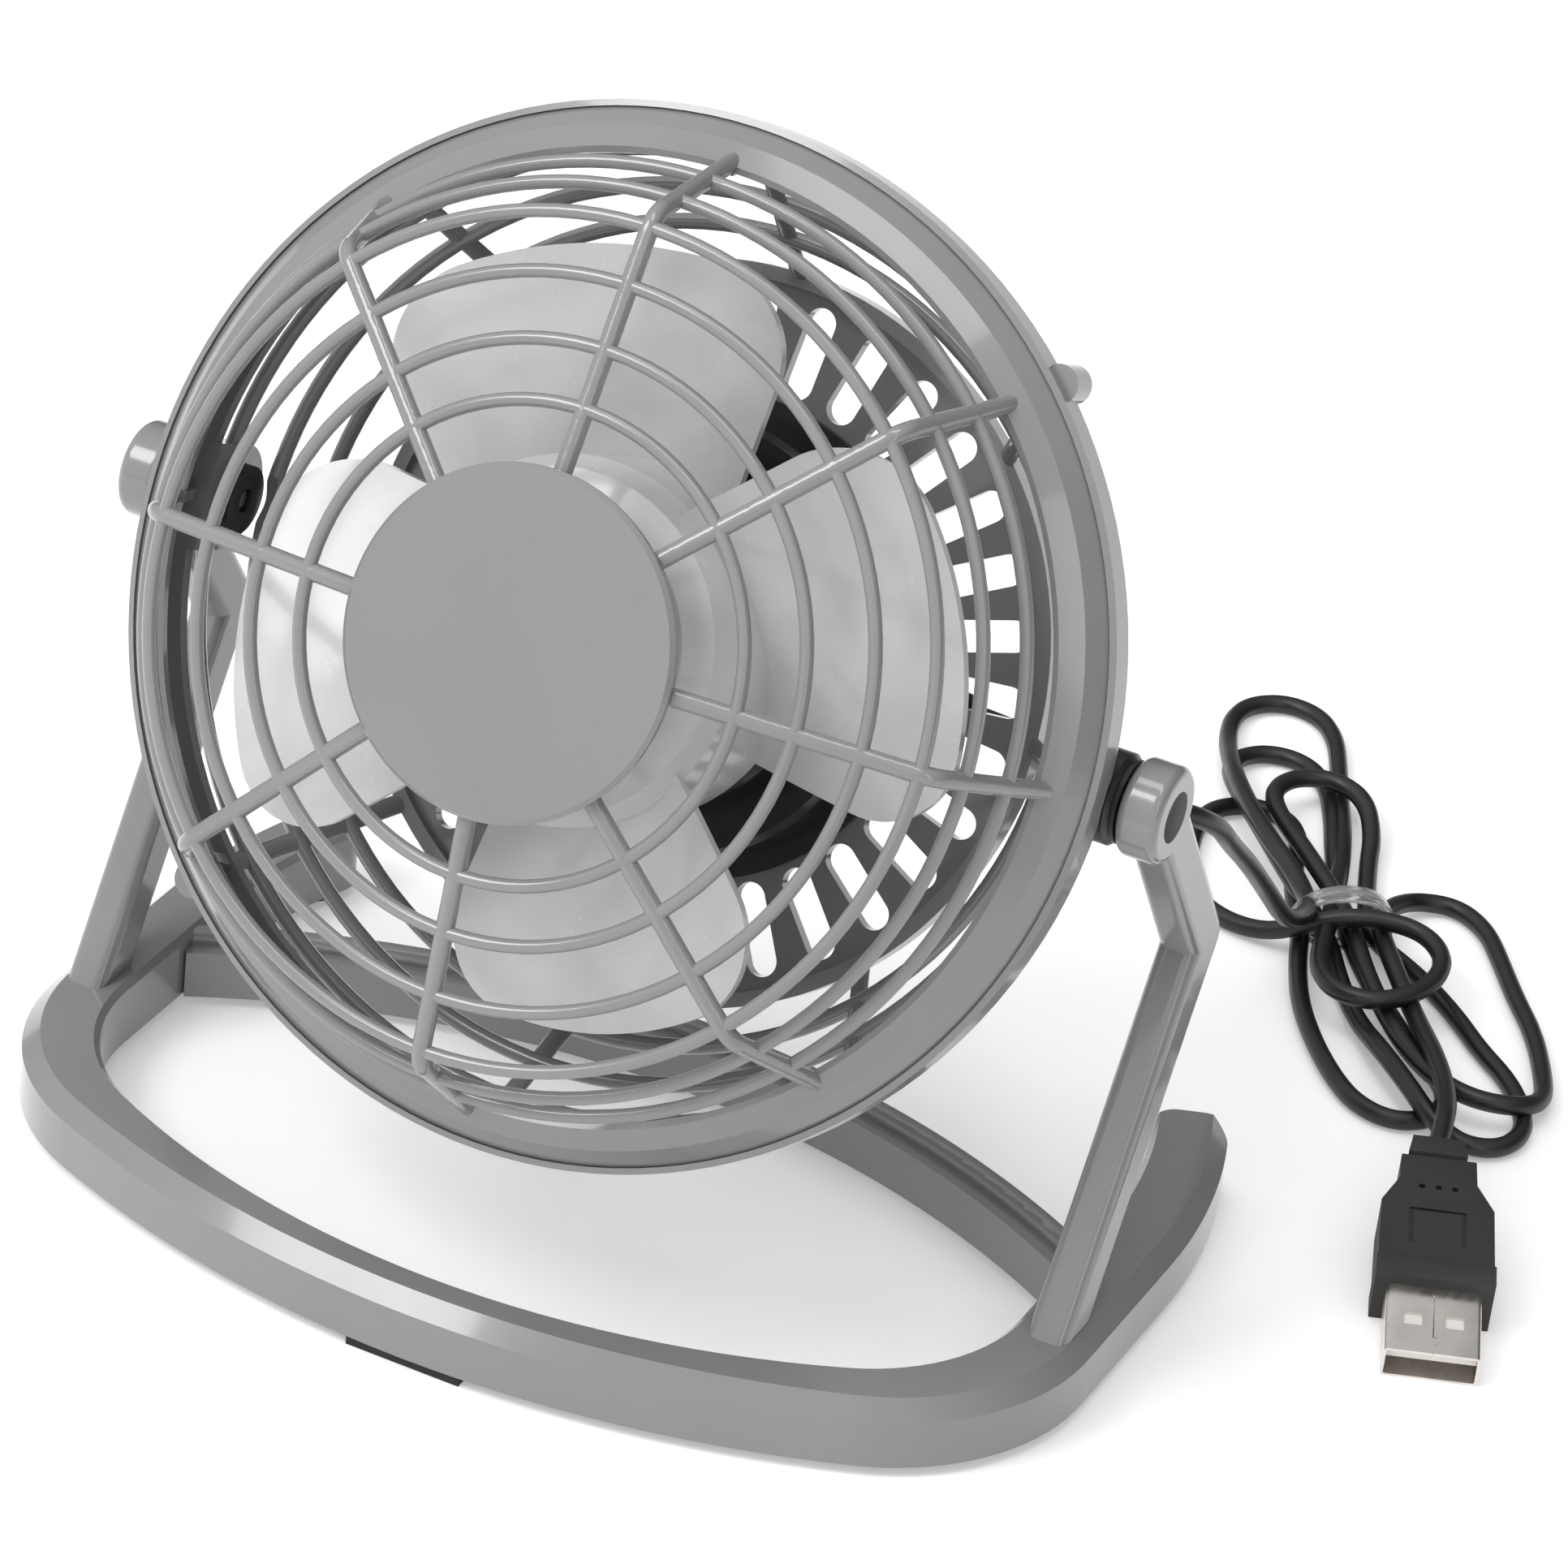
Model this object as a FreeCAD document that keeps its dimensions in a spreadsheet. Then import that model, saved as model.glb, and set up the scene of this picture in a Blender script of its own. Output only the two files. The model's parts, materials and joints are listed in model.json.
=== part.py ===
import FreeCAD, Part
import math
import os
import re
import Sketcher
from FreeCAD import Placement, Rotation, Vector

# A small desk fan with a round wire guard that tilts between the two arms of a C-shaped stand.
#
# Row frame: +Z up, floor at z = 0, the fan blows towards -Y, and +X is its left-hand side as it looks out.
# Head frame: origin on the tilt axis, x along that axis, y up the fan, z along the rotor's axis to the front.

# Driving sizes, in millimetres and degrees.
SIZES = {
    # where the head sits: the tilt axis behind the origin, its height over the rim's radius, and the tilt
    "pivotY": 2.16, "pivotLift": 15.5, "headTilt": 23.6,
    # stand
    "armInset": 2.3, "standFront": 48.3, "standRearTurn": 15.0, "barTop": 10.2, "padHeight": 1.5,
    "sideBarWidth": 9.8, "frontBarWidth": 6.3, "frontRadius": 136.0, "frontInnerRadius": 108.0,
    "cornerRadius": 30.0, "cornerInnerRadius": 24.0, "rearRadius": 84.8, "seamAngle": 14.5, "endAngle": 22.5,
    "outerChamfer": 2.2, "innerChamfer": 0.8, "endRounding": 3.4,
    "padHalfLength": 7.8, "frontPadWidth": 5.0, "padInset": 0.7, "rearPadRadius": 3.6,
    "crossBarBack": 26.4, "crossBarRadius": 119.0, "crossBarWidth": 5.2, "crossBarHeight": 6.6,
    "crossRidgeWidth": 3.0, "crossRidgeTop": 9.8, "crossBarBite": 0.9,
    # arms
    "armFootY": 7.4, "armKneeY": 18.5, "armKneeHeight": 52.9, "armWidth": 7.4, "armThickness": 5.4,
    "armRounding": 1.6, "eyeGap": 0.3, "eyeDiameter": 12.2, "eyeRounding": 1.2,
    "recessDiameter": 6.4, "recessDepth": 4.0,
    # tilt pivots
    "bossDiameter": 11.4, "bossProud": 0.4, "bossFlange": 1.6, "bossNeck": 6.4, "bossChamfer": 0.7,
    "washerThickness": 0.6, "washerDiameter": 10.4, "earInset": 6.8, "earThickness": 2.3, "earDiameter": 13.6,
    "pivotScrewDiameter": 3.0, "pivotScrewHead": 5.8, "pivotHeadHeight": 1.4, "pivotSocketRadius": 1.3,
    "pinClearance": 0.08,
    # front grille: the rim's parts are measured inwards from its outer radius
    "rimDiameter": 128.0, "rimFront": 10.5, "rimDepth": 3.4, "rimWall": 1.6, "rimWidth": 5.7, "rimRise": 4.0,
    "rimRoll": 0.8, "lipWidth": 0.8, "creaseInset": 3.0, "creaseRise": 2.4,
    "hubRadius": 20.2, "hubThickness": 2.4, "spokeFront": 38.2, "spokeRadius": 1.15,
    "bendInset": 12.4, "bendFront": 32.0, "bendRounding": 4.0, "spokeFootInset": 5.0, "spokeFootFront": 12.6,
    "wireRadius": 0.85, "ringOne": 28.2, "ringTwo": 35.3, "ringThree": 43.1, "ringFour": 50.1,
    "ringFiveGap": 2.0, "ringSixGap": 4.7, "ribThickness": 1.4, "ribDepth": 5.2,
    "badgeRadius": 21.0, "badgeThickness": 1.0, "badgeRounding": 0.5,
    # rear guard
    "guardWall": 1.8, "guardInset": 3.6, "guardFlangeInset": 5.4, "guardClearance": 0.2, "guardFoot": 5.8,
    "guardFootInset": 3.0, "guardLip": 0.4, "plateRadius": 46.0, "plateFront": 18.2,
    "plateThickness": 1.8, "plateLip": 1.4, "slotRim": 3.4, "slotOuter": 42.8,
    "slotWidth": 3.9, "slotCount": 32.0, "spokeCount": 8.0, "rearWireRadius": 1.0, "rearSpokeRadius": 1.25,
    "rearRingOneInset": 5.4, "rearRingTwoInset": 9.6, "rearRingThreeInset": 13.8,
    "lugRadius": 2.4, "lugInset": 0.3, "lugThickness": 3.0, "lugScrewDiameter": 1.6,
    "lugScrewHead": 3.2, "lugHeadHeight": 1.0, "screwFit": 0.03,
    # motor pod
    "podRadius": 27.4, "podFront": 9.0, "podStepRadius": 20.6, "podStepFront": 5.4, "podWall": 1.6,
    "podFlangeWidth": 2.8, "podFlangeThickness": 1.2, "podEdge": 0.8, "coverInset": 0.2, "coverBack": 33.0,
    "coverTaper": 1.4, "coverRounding": 2.4, "podScrewInset": 5.9, "podScrewDiameter": 2.0,
    "podScrewHead": 3.8, "podHeadHeight": 1.2, "podScrewLength": 9.0, "podScrewCount": 3.0,
    "podPostRadius": 1.9,
    # motor
    "motorDiameter": 24.4, "motorLength": 12.4, "motorWall": 0.8, "motorNose": 3.0, "motorNoseLength": 1.5,
    "sleeveWall": 1.3, "sleeveLength": 6.0, "bearingClearance": 0.05, "pressFit": 0.01,
    "magnetGap": 1.0, "magnetThickness": 2.2, "magnetLength": 8.6, "coreGap": 0.8, "rotorRadius": 8.6,
    "rotorLength": 7.0, "shaftDiameter": 2.0, "shaftFront": 20.0, "commutatorRadius": 2.4,
    "commutatorLength": 2.4, "endCapThickness": 2.0, "terminalLength": 2.2, "terminalReach": 5.0,
    "terminalWidth": 2.2, "terminalThickness": 0.5,
    # impeller
    "tipRadius": 46.8, "fanHubRadius": 22.0, "fanHubBack": 4.0, "fanHubFront": 28.5, "fanHubWall": 1.5,
    "fanHubRounding": 5.0, "fanBossRadius": 3.4, "fanBossStep": 2.0, "bladeCount": 4.0,
    "bladeThickness": 1.5, "bladeMiddle": 15.0, "bladeTwist": 0.22, "bladeTipSpan": 66.0,
    "bladeRootSpan": 86.0, "bladeCorner": 11.0, "bladeStart": 108.0,
    # switch
    "switchLength": 13.2, "switchWidth": 8.8, "switchFlange": 1.2, "switchDepth": 6.6, "bezelWall": 1.6,
    "bezelStep": 0.8, "rockerAxis": 32.0, "rockerFace": 2.4, "rockerGap": 0.35, "rockerRise": 1.5,
    "rockerTravel": 16.0, "rockerPin": 0.8, "rockerPinReach": 0.6, "rockerKeel": 2.0,
    # cord, its gland, its plug and its tie
    "cordDiameter": 2.6, "glandAxis": 27.0, "glandNeck": 2.4, "glandBase": 3.6, "glandTip": 2.1,
    "glandReach": 6.6, "hankHeight": 7.6, "tieWidth": 3.6, "tieSpan": 14.0, "tieWall": 0.9,
    "shellWidth": 12.0, "shellHeight": 4.5, "shellLength": 12.0, "shellWall": 0.35, "windowSize": 2.3,
    "windowBack": 4.6, "windowSide": 1.1, "tongueThickness": 1.9, "tongueInset": 1.2,
    "plugWidth": 15.0, "plugHeight": 7.8, "plugLength": 18.5, "shoulderLength": 5.4, "shoulderWidth": 9.4,
    "reliefLength": 4.6, "reliefWidth": 6.6,
}

# Radii and places that several pieces share, as sums of those sizes.
RIM = "0.5 * rimDiameter"
RIM_INNER = RIM + " - rimWidth"
CREASE = RIM + " - creaseInset"
BEND = RIM + " - bendInset"
SPOKE_FOOT = RIM + " - spokeFootInset"
GUARD_INNER = RIM + " - guardInset"
GUARD_FLANGE = RIM + " - guardFlangeInset"
GUARD_FOOT_REACH = RIM + " - guardFootInset"
LUG_SIDE = "0.35355 * rimDiameter - 0.7071 * lugInset"  # as far out along x as along y
PIVOT_HEIGHT = RIM + " + pivotLift"
EAR = RIM + " - earInset"
EAR_OUTER = EAR + " + earThickness"
BOSS_INNER = EAR + " - bossFlange"
BOSS_OUTER = RIM + " + bossProud"
EYE_INNER = BOSS_OUTER + " + washerThickness + eyeGap"
EYE_OUTER = EYE_INNER + " + armThickness"
STAND_HALF = EYE_OUTER + " + armInset"
SIDE_INNER = STAND_HALF + " - sideBarWidth"
PLATE_HOLE = "podRadius + guardClearance"
POD_FLANGE = "podRadius + podFlangeWidth"
POD_SCREW_REACH = "podRadius - podScrewInset"
COVER = "podRadius - coverInset"
GLAND_END = "podRadius + glandReach"
MOTOR_FRONT = "0 - podStepFront - podWall"
MOTOR_BACK = MOTOR_FRONT + " - motorLength"
PLUG_REAR = "shellLength + plugLength + shoulderLength"
PAIR = "2"

doc = FreeCAD.newDocument("DeskFan")
sheet = doc.addObject("Spreadsheet::Sheet", "Sizes")
for row, (alias, value) in enumerate(SIZES.items(), 1):
    sheet.set(f"A{row}", alias)
    sheet.set(f"B{row}", str(value))
    sheet.setAlias(f"B{row}", alias)
doc.recompute()

nodes = {}


# ---- reading and binding sizes ---------------------------------------------

def amount(text):
    """The value of a sum of products of sheet names and numbers, such as '0.5 * rimDiameter - rimWall'."""
    total = 0.0
    for sign, term in re.findall(r"([+-]?)\s*([^+-]+)", text):
        value = 1.0
        for factor in term.split("*"):
            word = factor.strip()
            value *= float(sheet.get(word)) if word in SIZES else float(word)
        total += -value if sign == "-" else value
    return total


def bound(text):
    """The same sum as a FreeCAD expression on the sheet."""
    return re.sub(r"[A-Za-z]\w*", lambda word: "Sizes." + word.group(0), text)


def bind(thing, **sizes):
    """Bind properties to the sheet; a double underscore stands for the dot of a nested property."""
    for name, text in sizes.items():
        thing.setExpression(name.replace("__", "."), bound(text))
    return thing


def on_head(thing, y="0", z="0", extra="0"):
    """Place a piece modelled round a point (0, y, z) of the head frame, turned by extra degrees about x."""
    thing.Placement = Placement(Vector(0, 0, 0), Rotation(Vector(1, 0, 0), 60))
    along, up = bound(y), bound(z)
    tilt = "Sizes.headTilt"
    bind(thing, Placement__Rotation__Angle="90 - headTilt + " + extra)
    thing.setExpression("Placement.Base.y", f"Sizes.pivotY + ({along}) * sin({tilt}) - ({up}) * cos({tilt})")
    pivot = bound(PIVOT_HEIGHT)
    thing.setExpression("Placement.Base.z", f"{pivot} + ({along}) * cos({tilt}) + ({up}) * sin({tilt})")
    return thing


def keep(node, thing):
    """Register a finished sub-part under its node name."""
    thing.Label = node
    nodes[node] = thing
    return thing


# ---- sketches and PartDesign features --------------------------------------

def new_body(name):
    return doc.addObject("PartDesign::Body", name)


def plane(body, role):
    """One of the body's own origin planes or axes."""
    return next(f for f in body.Origin.OriginFeatures if f.Role == role)


def new_sketch(body, name, role, offset="0"):
    """A sketch on one of the body's own origin planes, moved along the plane's normal."""
    sketch = body.newObject("Sketcher::SketchObject", name)
    sketch.AttachmentSupport = [(plane(body, role), "")]
    sketch.MapMode = "FlatFace"
    if offset != "0":
        bind(sketch, AttachmentOffset__Base__z=offset)
    return sketch


def add_polygon(sketch, corners):
    """A closed polygon whose corners, given as pairs of sums, are bound to the sheet."""
    values = [Vector(amount(x), amount(y), 0) for x, y in corners]
    first = sketch.GeometryCount
    count = len(values)
    for i, start in enumerate(values):
        sketch.addGeometry(Part.LineSegment(start, values[(i + 1) % count]), False)
    for i, (x, y) in enumerate(corners):
        sketch.addConstraint(Sketcher.Constraint("Coincident", first + i, 2, first + (i + 1) % count, 1))
        for kind, text, value in (("DistanceX", x, values[i].x), ("DistanceY", y, values[i].y)):
            index = sketch.addConstraint(Sketcher.Constraint(kind, -1, 1, first + i, 1, value))
            if re.search("[A-Za-z]", text):
                sketch.setExpression(f"Constraints[{index}]", bound(text))


def box_corners(width, height, inset="0"):
    """Corners of a rectangle round the origin, smaller all round by an inset than width by height."""
    left, right = f"{inset} - 0.5 * {width}", f"0.5 * {width} - {inset}"
    low, high = f"{inset} - 0.5 * {height}", f"0.5 * {height} - {inset}"
    return [(left, low), (right, low), (right, high), (left, high)]


def add_slot(sketch, inner, outer, width):
    """A slot along x with round ends, between two distances from the origin."""
    half = 0.5 * amount(width)
    near, far = amount(inner) + half, amount(outer) - half
    corners = [Vector(x, y, 0) for x, y in ((near, half), (far, half), (far, -half), (near, -half))]
    for start, end, tip in ((corners[0], corners[1], None), (corners[1], corners[2], far + half),
                            (corners[2], corners[3], None), (corners[3], corners[0], near - half)):
        edge = Part.LineSegment(start, end) if tip is None else Part.Arc(start, Vector(tip, 0, 0), end)
        sketch.addGeometry(edge, False)


def add_circle(sketch, radius, x="0", y="0"):
    """A circle whose radius and centre are bound to the sheet."""
    centre = Vector(amount(x), amount(y), 0)
    circle = sketch.addGeometry(Part.Circle(centre, Vector(0, 0, 1), amount(radius)), False)
    index = sketch.addConstraint(Sketcher.Constraint("Radius", circle, amount(radius)))
    sketch.setExpression(f"Constraints[{index}]", bound(radius))
    for kind, text, value in (("DistanceX", x, centre.x), ("DistanceY", y, centre.y)):
        index = sketch.addConstraint(Sketcher.Constraint(kind, -1, 1, circle, 3, value))
        if re.search("[A-Za-z]", text):
            sketch.setExpression(f"Constraints[{index}]", bound(text))


def revolve(body, name, corners, centre_line="V_Axis"):
    """Turn a polygon drawn in the XZ plane, as pairs (radius, height), round the body's z axis."""
    sketch = new_sketch(body, name + "Profile", "XZ_Plane")
    add_polygon(sketch, corners)
    feature = body.newObject("PartDesign::Revolution", name)
    feature.Profile = sketch
    feature.ReferenceAxis = (sketch, [centre_line])
    feature.Angle = 360
    return feature


def pad(body, name, sketch, length, reverse=False):
    feature = body.newObject("PartDesign::Pad", name)
    feature.Profile = sketch
    feature.Reversed = reverse
    return bind(feature, Length=length)


def pocket(body, name, sketch, length, reverse=False):
    feature = body.newObject("PartDesign::Pocket", name)
    feature.Profile = sketch
    feature.Reversed = reverse
    return bind(feature, Length=length)


def torus(body, name, ring_radius, wire_radius, height):
    feature = body.newObject("PartDesign::AdditiveTorus", name)
    feature.AttachmentSupport = [(plane(body, "XY_Plane"), "")]
    feature.MapMode = "FlatFace"
    seam = 0.4 * 360 / amount("spokeCount")  # the ring's seam lies between two spokes
    feature.AttachmentOffset = Placement(Vector(0, 0, 0), Rotation(Vector(0, 0, 1), seam))
    bind(feature, Radius1=ring_radius, Radius2=wire_radius, AttachmentOffset__Base__z=height)
    return feature


def polar(body, name, originals, count):
    """Repeat features round the body's z axis; they are built first, as the pattern reads their shapes."""
    doc.recompute()
    feature = body.newObject("PartDesign::PolarPattern", name)
    feature.Originals = originals
    feature.Axis = (plane(body, "Z_Axis"), [""])
    feature.Angle = 360
    bind(feature, Occurrences=count)
    body.Tip = feature
    return feature


def turned(name, corners):
    """A body that is one revolved profile."""
    body = new_body(name)
    revolve(body, name + "Turn", corners)
    return body


def bent_rod(body, name, start, corner, end, rounding, radius):
    """A round rod in the XZ plane along two straight lines that a tangent arc joins."""
    points = [Vector(amount(x), amount(z), 0) for x, z in (start, corner, end)]
    path = new_sketch(body, name + "Path", "XZ_Plane")
    before = (points[0] - points[1]).normalize()
    after = (points[2] - points[1]).normalize()
    half = 0.5 * before.getAngle(after)
    reach = amount(rounding) / math.tan(half)
    first, last = points[1] + before * reach, points[1] + after * reach
    centre = points[1] + (before + after).normalize() * (amount(rounding) / math.sin(half))
    middle = centre + (points[1] - centre).normalize() * amount(rounding)
    path.addGeometry(Part.LineSegment(points[0], first), False)
    path.addGeometry(Part.Arc(first, middle, last), False)
    path.addGeometry(Part.LineSegment(last, points[2]), False)
    section = new_sketch(body, name + "Section", "YZ_Plane", start[0])
    add_circle(section, radius, "0", start[1])
    feature = body.newObject("PartDesign::AdditivePipe", name)
    feature.Profile = section
    feature.Spine = (path, ["Edge1", "Edge2", "Edge3"])
    return feature


def straight_rod(body, name, start, end, radius):
    """A round rod in the XZ plane from start to end, each a pair (x, z)."""
    path = new_sketch(body, name + "Path", "XZ_Plane")
    points = [Vector(amount(x), amount(z), 0) for x, z in (start, end)]
    path.addGeometry(Part.LineSegment(*points), False)
    section = new_sketch(body, name + "Section", "YZ_Plane", start[0])
    add_circle(section, radius, "0", start[1])
    feature = body.newObject("PartDesign::AdditivePipe", name)
    feature.Profile = section
    feature.Spine = (path, ["Edge1"])
    return feature


# ---- stand -----------------------------------------------------------------

def arc(centre, radius, start, end):
    """The arc round centre, in the XY plane, between two angles in degrees."""
    def point(degrees):
        turn = math.radians(degrees)
        return centre + Vector(radius * math.cos(turn), radius * math.sin(turn), 0)
    return Part.Arc(point(start), point(0.5 * (start + end)), point(end)).toShape()


def bar_edge(front, front_radius, corner_radius, side, end_angle):
    """Right half of one edge of the C-shaped bar, from its middle in front to the end angle at the rear."""
    turn_y = amount("standRearTurn")
    rear_centre = Vector(amount(STAND_HALF + " - rearRadius"), turn_y, 0)
    front_centre = Vector(0, front_radius - front, 0)
    gap = front_radius - corner_radius
    reach = side - corner_radius
    corner_centre = Vector(reach, front_centre.y - math.sqrt(gap ** 2 - reach ** 2), 0)
    meet = math.degrees(math.atan2(corner_centre.y - front_centre.y, reach))
    straight = Part.LineSegment(Vector(side, corner_centre.y, 0), Vector(side, turn_y, 0)).toShape()
    return [arc(front_centre, front_radius, -90, meet), arc(corner_centre, corner_radius, meet, 0), straight,
            arc(rear_centre, side - rear_centre.x, 0, end_angle)]


def mirrored(edges):
    return [edge.mirror(Vector(0, 0, 0), Vector(1, 0, 0)) for edge in edges]


def bar_edges(end_angle):
    """Right halves of the bar's outer and inner edges."""
    outer = bar_edge(amount("standFront"), amount("frontRadius"), amount("cornerRadius"),
                     amount(STAND_HALF), end_angle)
    inner = bar_edge(amount("standFront - frontBarWidth"), amount("frontInnerRadius"),
                     amount("cornerInnerRadius"), amount(SIDE_INNER), end_angle)
    return outer, inner


def bar_outline(end_angle):
    """Closed outline of the C-shaped bar, seen from above, up to the end angle of both side bars."""
    outer, inner = bar_edges(end_angle)
    caps = [Part.LineSegment(outer[-1].lastVertex().Point, inner[-1].lastVertex().Point).toShape()]
    caps += mirrored(caps)
    edges = outer + inner + mirrored(outer) + mirrored(inner) + caps
    return Part.Wire(Part.__sortEdges__(edges))


def chamfer_top(solid, top, sizes):
    """Chamfer the upper edges whose middle points a test accepts: sizes is a list of (test, width)."""
    for accept, width in sizes:
        edges = [e for e in solid.Edges
                 if abs(e.BoundBox.ZMin - top) < 1e-6 and abs(e.BoundBox.ZMax - top) < 1e-6
                 and accept(e.valueAt(0.5 * (e.FirstParameter + e.LastParameter)))]
        solid = solid.makeChamfer(width, edges)
    return solid


def stand_shape(end_angle):
    """The bar as a solid, with a wide chamfer outside and a narrow one inside."""
    foot, top = amount("padHeight"), amount("barTop")
    solid = Part.Face(bar_outline(end_angle)).extrude(Vector(0, 0, top - foot))
    solid.translate(Vector(0, 0, foot))
    outer_wire, inner_wire = [Part.Wire(edges) for edges in bar_edges(end_angle)]

    def on(wire):
        return lambda p: Part.Vertex(abs(p.x), p.y, 0).distToShape(wire)[0] < 1e-4
    return chamfer_top(solid, top, [(on(outer_wire), amount("outerChamfer")),
                                    (on(inner_wire), amount("innerChamfer"))])


def cross_bar_angle():
    """Half the angle that the cross bar spans, so that its ends bite into the side bars."""
    return math.degrees(math.asin(amount(SIDE_INNER + " + crossBarBite") / amount("crossBarRadius")))


def cross_bar_shape():
    """The bowed bar across the stand: a broad lower part and a narrower ridge along its rear edge."""
    foot = amount("padHeight")
    inner = amount("crossBarRadius - 0.5 * crossBarWidth")
    outer = amount("crossBarRadius + 0.5 * crossBarWidth")
    step = foot + amount("crossBarHeight")
    ridge = outer - amount("crossRidgeWidth")
    top = amount("crossRidgeTop")
    centre = Vector(0, amount("crossBarBack - crossBarRadius"), 0)
    start = math.radians(90 - cross_bar_angle())
    corners = [(inner, foot), (outer, foot), (outer, top), (ridge, top), (ridge, step), (inner, step)]
    points = [centre + Vector(reach * math.cos(start), reach * math.sin(start), z) for reach, z in corners]
    section = Part.Face(Part.makePolygon(points + points[:1]))
    solid = section.revolve(centre, Vector(0, 0, 1), 2 * cross_bar_angle())
    long = amount("crossBarRadius")
    crest = [e for e in solid.Edges if abs(e.BoundBox.ZMin - top) < 1e-6 and e.Length > long]
    return solid.makeFillet(0.4 * amount("crossRidgeWidth"), crest)


def placed(name, shape):
    """A stand piece whose shape is set directly; it is modelled round the tilt axis and moved with it."""
    thing = doc.addObject("Part::Feature", name)
    thing.Shape = shape
    return bind(thing, Placement__Base__y="pivotY")


def make_base_frame():
    bar = placed("Bar", stand_shape(amount("seamAngle")))
    cross = placed("CrossBar", cross_bar_shape())
    frame = doc.addObject("Part::Fuse", "BaseFrame")
    frame.Base = bar
    frame.Tool = cross
    keep("base_frame", frame)


def make_end_caps():
    """The last stretch of each side bar is a cap of its own."""
    whole = stand_shape(amount("endAngle"))
    stub = whole.cut(Part.Face(bar_outline(amount("seamAngle"))).extrude(Vector(0, 0, amount("2 * barTop"))))
    right = next(solid for solid in stub.Solids if solid.CenterOfMass.x > 0)
    tips = [e for e in right.Edges if abs(e.tangentAt(e.FirstParameter).z) > 0.99
            and e.CenterOfMass.y > right.BoundBox.YMax - amount("0.5 * sideBarWidth")]
    right = right.makeFillet(amount("endRounding"), tips)
    keep("end_cap_right", placed("EndCapRight", right))
    keep("end_cap_left", placed("EndCapLeft", right.mirror(Vector(0, 0, 0), Vector(1, 0, 0))))


def make_pads():
    """Three rubber pads: one under the middle of the front bar and one under each end cap."""
    front = doc.addObject("Part::Box", "FrontPad")
    front.Placement = Placement(Vector(0, 0, 0), Rotation())
    bind(front, Length="2 * padHalfLength", Width="frontPadWidth", Height="padHeight",
         Placement__Base__x="0 - padHalfLength", Placement__Base__y="pivotY - standFront + padInset")
    keep("foot_pad_front", front)
    for side, sign in (("right", 1), ("left", -1)):
        pad_disc = doc.addObject("Part::Cylinder", "RearPad" + side.title())
        turn = math.radians(0.5 * (amount("seamAngle") + amount("endAngle")))
        reach = amount("rearRadius - 0.5 * sideBarWidth")
        centre = amount(STAND_HALF + " - rearRadius") + reach * math.cos(turn)
        pad_disc.Placement = Placement(Vector(sign * centre, 0, 0), Rotation())
        bind(pad_disc, Radius="rearPadRadius", Height="padHeight")
        pad_disc.Placement.Base.y = amount("pivotY + standRearTurn") + reach * math.sin(turn)
        keep("foot_pad_" + side, pad_disc)


def rounded_strut(start, end, width, thickness, rounding):
    """A bar between two points of a plane of constant x, with its four long edges rounded."""
    along = end - start
    block = Part.makeBox(thickness, width, along.Length, Vector(-0.5 * thickness, -0.5 * width, 0))
    long_edges = [e for e in block.Edges if abs(e.Length - along.Length) < 1e-6]
    block = block.makeFillet(rounding, long_edges)
    block.Placement = Placement(start, Rotation(Vector(0, 0, 1), along))
    return block


def rounded_disc(centre, radius, thickness, rounding):
    """A disc with its axis along x, centred on a point, with both rims rounded."""
    disc = Part.makeCylinder(radius, thickness, centre - Vector(0.5 * thickness, 0, 0), Vector(1, 0, 0))
    rims = [e for e in disc.Edges if e.BoundBox.XLength < 1e-6]
    return disc.makeFillet(rounding, rims)


def arm_shape():
    """The arm leans back from the side bar to a knee, then forward to the eye on the tilt axis."""
    middle = amount(EYE_INNER + " + 0.5 * armThickness")
    foot = Vector(middle, -amount("armFootY"), amount("barTop"))
    knee = Vector(middle, amount("armKneeY"), amount("armKneeHeight"))
    eye = Vector(middle, 0, amount(PIVOT_HEIGHT))
    width, thickness, rounding = amount("armWidth"), amount("armThickness"), amount("armRounding")
    root = foot - (knee - foot).normalize() * width
    lower = rounded_strut(root, knee, width, thickness, rounding)
    upper = rounded_strut(knee, eye, width, thickness, rounding)
    solid = lower.fuse([rounded_disc(knee, 0.5 * width, thickness, rounding), upper,
                        rounded_disc(eye, amount("0.5 * eyeDiameter"), thickness, amount("eyeRounding"))])
    below = Part.makeBox(2 * thickness, 4 * width, 2 * width, foot - Vector(thickness, 2 * width, 2 * width))
    outside = eye + Vector(0.5 * thickness, 0, 0)
    recess = Part.makeCylinder(amount("0.5 * recessDiameter"), amount("recessDepth"), outside,
                               Vector(-1, 0, 0))
    bore = amount("0.5 * pivotScrewDiameter + pinClearance")
    hole = Part.makeCylinder(bore, thickness, outside, Vector(-1, 0, 0))
    return solid.cut([below, recess, hole]).removeSplitter()


def make_arms():
    right = keep("arm_right", placed("ArmRight", arm_shape()))
    left = doc.addObject("Part::Mirroring", "ArmLeft")
    left.Source = right
    left.Normal = Vector(1, 0, 0)
    keep("arm_left", left)


# ---- head: grille, guard and pivots ----------------------------------------

def line_at(radius):
    """Height of the grille's spokes at a radius between the hub and the bend."""
    slope = amount("spokeFront - bendFront") / amount(BEND + " - hubRadius")
    return amount("spokeFront") - slope * (amount(radius) - amount("hubRadius"))


def side_at(radius):
    """Height of the grille's spokes at a radius between the bend and the rim."""
    slope = amount("bendFront - spokeFootFront") / (amount(SPOKE_FOOT) - amount(BEND))
    return amount("bendFront") - slope * (amount(radius) - amount(BEND))


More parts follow.
